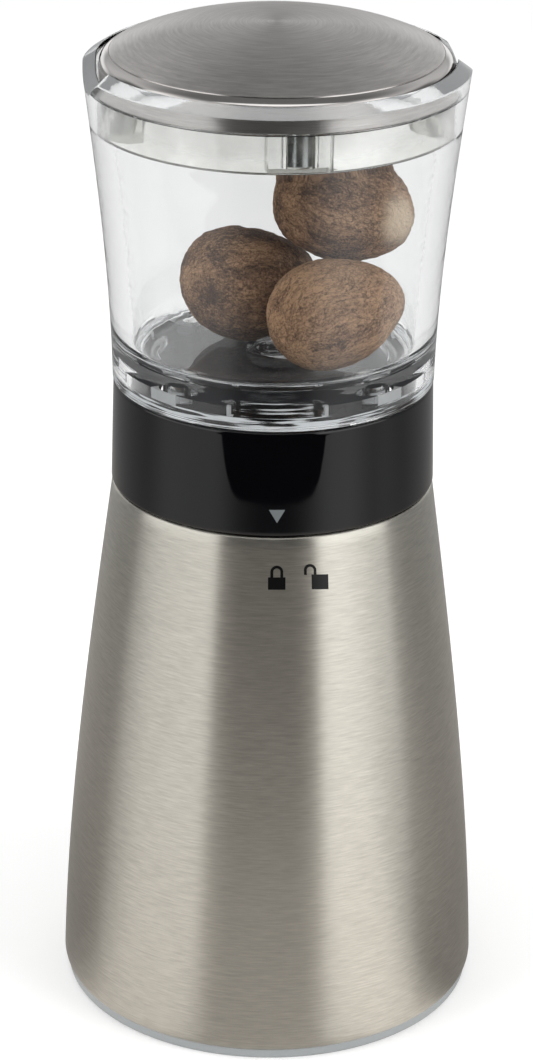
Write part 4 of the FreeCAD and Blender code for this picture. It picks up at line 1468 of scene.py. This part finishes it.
def makeWorld():
    world = bpy.data.worlds.new("studioLight")
    bpy.context.scene.world = world
    g = Graph(world)
    s = room
    direction = g.add("TexCoord", output="Generated")
    x, y, z = [g.part(direction, axis) for axis in "XYZ"]
    bearing = g.bearing(x, y)
    low = 1 - g.ease(z, *s["panelFoot"])
    rising = g.ease(z, *s["panelRise"])

    def panel(ends):
        edges = [bound + low * opening for bound, opening in zip(ends["bearing"], ends["opening"])]
        lit = g.step(bearing, edges[0], s["panelSoft"]) - g.step(bearing, edges[1], s["panelSoft"])
        return lit, lit * (rising * (ends["high"] - ends["low"]) + ends["low"])

    def over(first, share, second):
        return first + share * (second - first)

    leftShare, left = panel(s["leftPanel"])
    rightShare, right = panel(s["rightPanel"])
    aside = abs(bearing)
    straight, wide = s["behind"]
    above = (1 - g.ease(aside, *s["behindBearing"])) * (wide - straight) + straight
    flank = g.band(aside, *s["flankBearing"]) * (1 - g.ease(z, *s["flankTop"]))
    above = above * (1 - flank * s["flank"])
    rest = g.ease(z, *s["behindHeight"]) * (above - s["beside"]) + s["beside"]
    lowBack = g.ease(aside, *s["backdropBearing"]) * g.band(z, *s["backdropHeight"])
    rest = over(rest, lowBack, s["backdrop"])
    rest = over(rest, g.band(bearing, *s["betweenBearing"]), s["between"])
    bands = left + right + (1 - leftShare - rightShare) * rest
    bands = over(bands, g.ease(z, *s["ceilingHeight"]), s["ceiling"])
    topPanel = g.ease(z, *s["topPanelHeight"]) * (1 - g.ease(y, *s["topPanelDepth"]))
    bands = over(bands, topPanel, s["topPanel"])
    bands = over(bands, g.ray("Transmission") * g.ease(y, *s["glassDepth"]), 1.0)
    inRoom = g.most(g.ray("Glossy"), g.ray("Transmission"))
    camera = g.ray("Camera")
    strength = inRoom * bands + camera + (1 - inRoom - camera) * s["level"]
    light = g.add("Background", {}, {"Color": (1.0, 1.0, 1.0), "Strength": strength})
    g.add("OutputWorld", {}, {"Surface": light})


lamps = {
    "lampLeft": {"place": (-0.75, -0.35, 0.6), "size": (0.5, 0.9), "power": 4.0},
    "lampRight": {"place": (0.7, -0.45, 0.65), "size": (0.5, 0.9), "power": 4.8},
    "lampTop": {"place": (0.0, 0.15, 1.1), "size": (0.8, 0.8), "power": 3.4},
}
aim = (0.0, 0.0, 0.08)


def makeLamps():
    for name, s in lamps.items():
        data = bpy.data.lights.new(name, "AREA")
        data.shape = "RECTANGLE"
        data.size, data.size_y = s["size"]
        data.energy = s["power"]
        lamp = bpy.data.objects.new(name, data)
        lamp.location = s["place"]
        lamp.rotation_euler = (Vector(aim) - lamp.location).to_track_quat("-Z", "Y").to_euler()
        lamp.visible_glossy = False
        lamp.visible_camera = False
        lamp.visible_transmission = False
        bpy.context.collection.objects.link(lamp)


view = {
    "place": (-0.0008, -0.4914, 0.2915),
    "pitch": 23.7,
    "bearing": -1.7,
    "roll": 0.61,
    "lens": 116.89,
    "sensor": 36.0,
    "nearest": 0.01,
}


def makeCamera():
    data = bpy.data.cameras.new("studioCamera")
    data.lens = view["lens"]
    data.sensor_width = view["sensor"]
    data.clip_start = view["nearest"]
    camera = bpy.data.objects.new("studioCamera", data)
    around = Matrix.Rotation(math.radians(view["bearing"]), 4, "Z")
    down = Matrix.Rotation(math.radians(90.0 - view["pitch"]), 4, "X")
    roll = Matrix.Rotation(math.radians(view["roll"]), 4, "Z")
    camera.matrix_world = around @ Matrix.Translation(view["place"]) @ down @ roll
    bpy.context.collection.objects.link(camera)
    bpy.context.scene.camera = camera


makeFloor()
makeWorld()
makeLamps()
makeCamera()
bpy.context.scene.view_settings.view_transform = "Standard"
print("studio made")
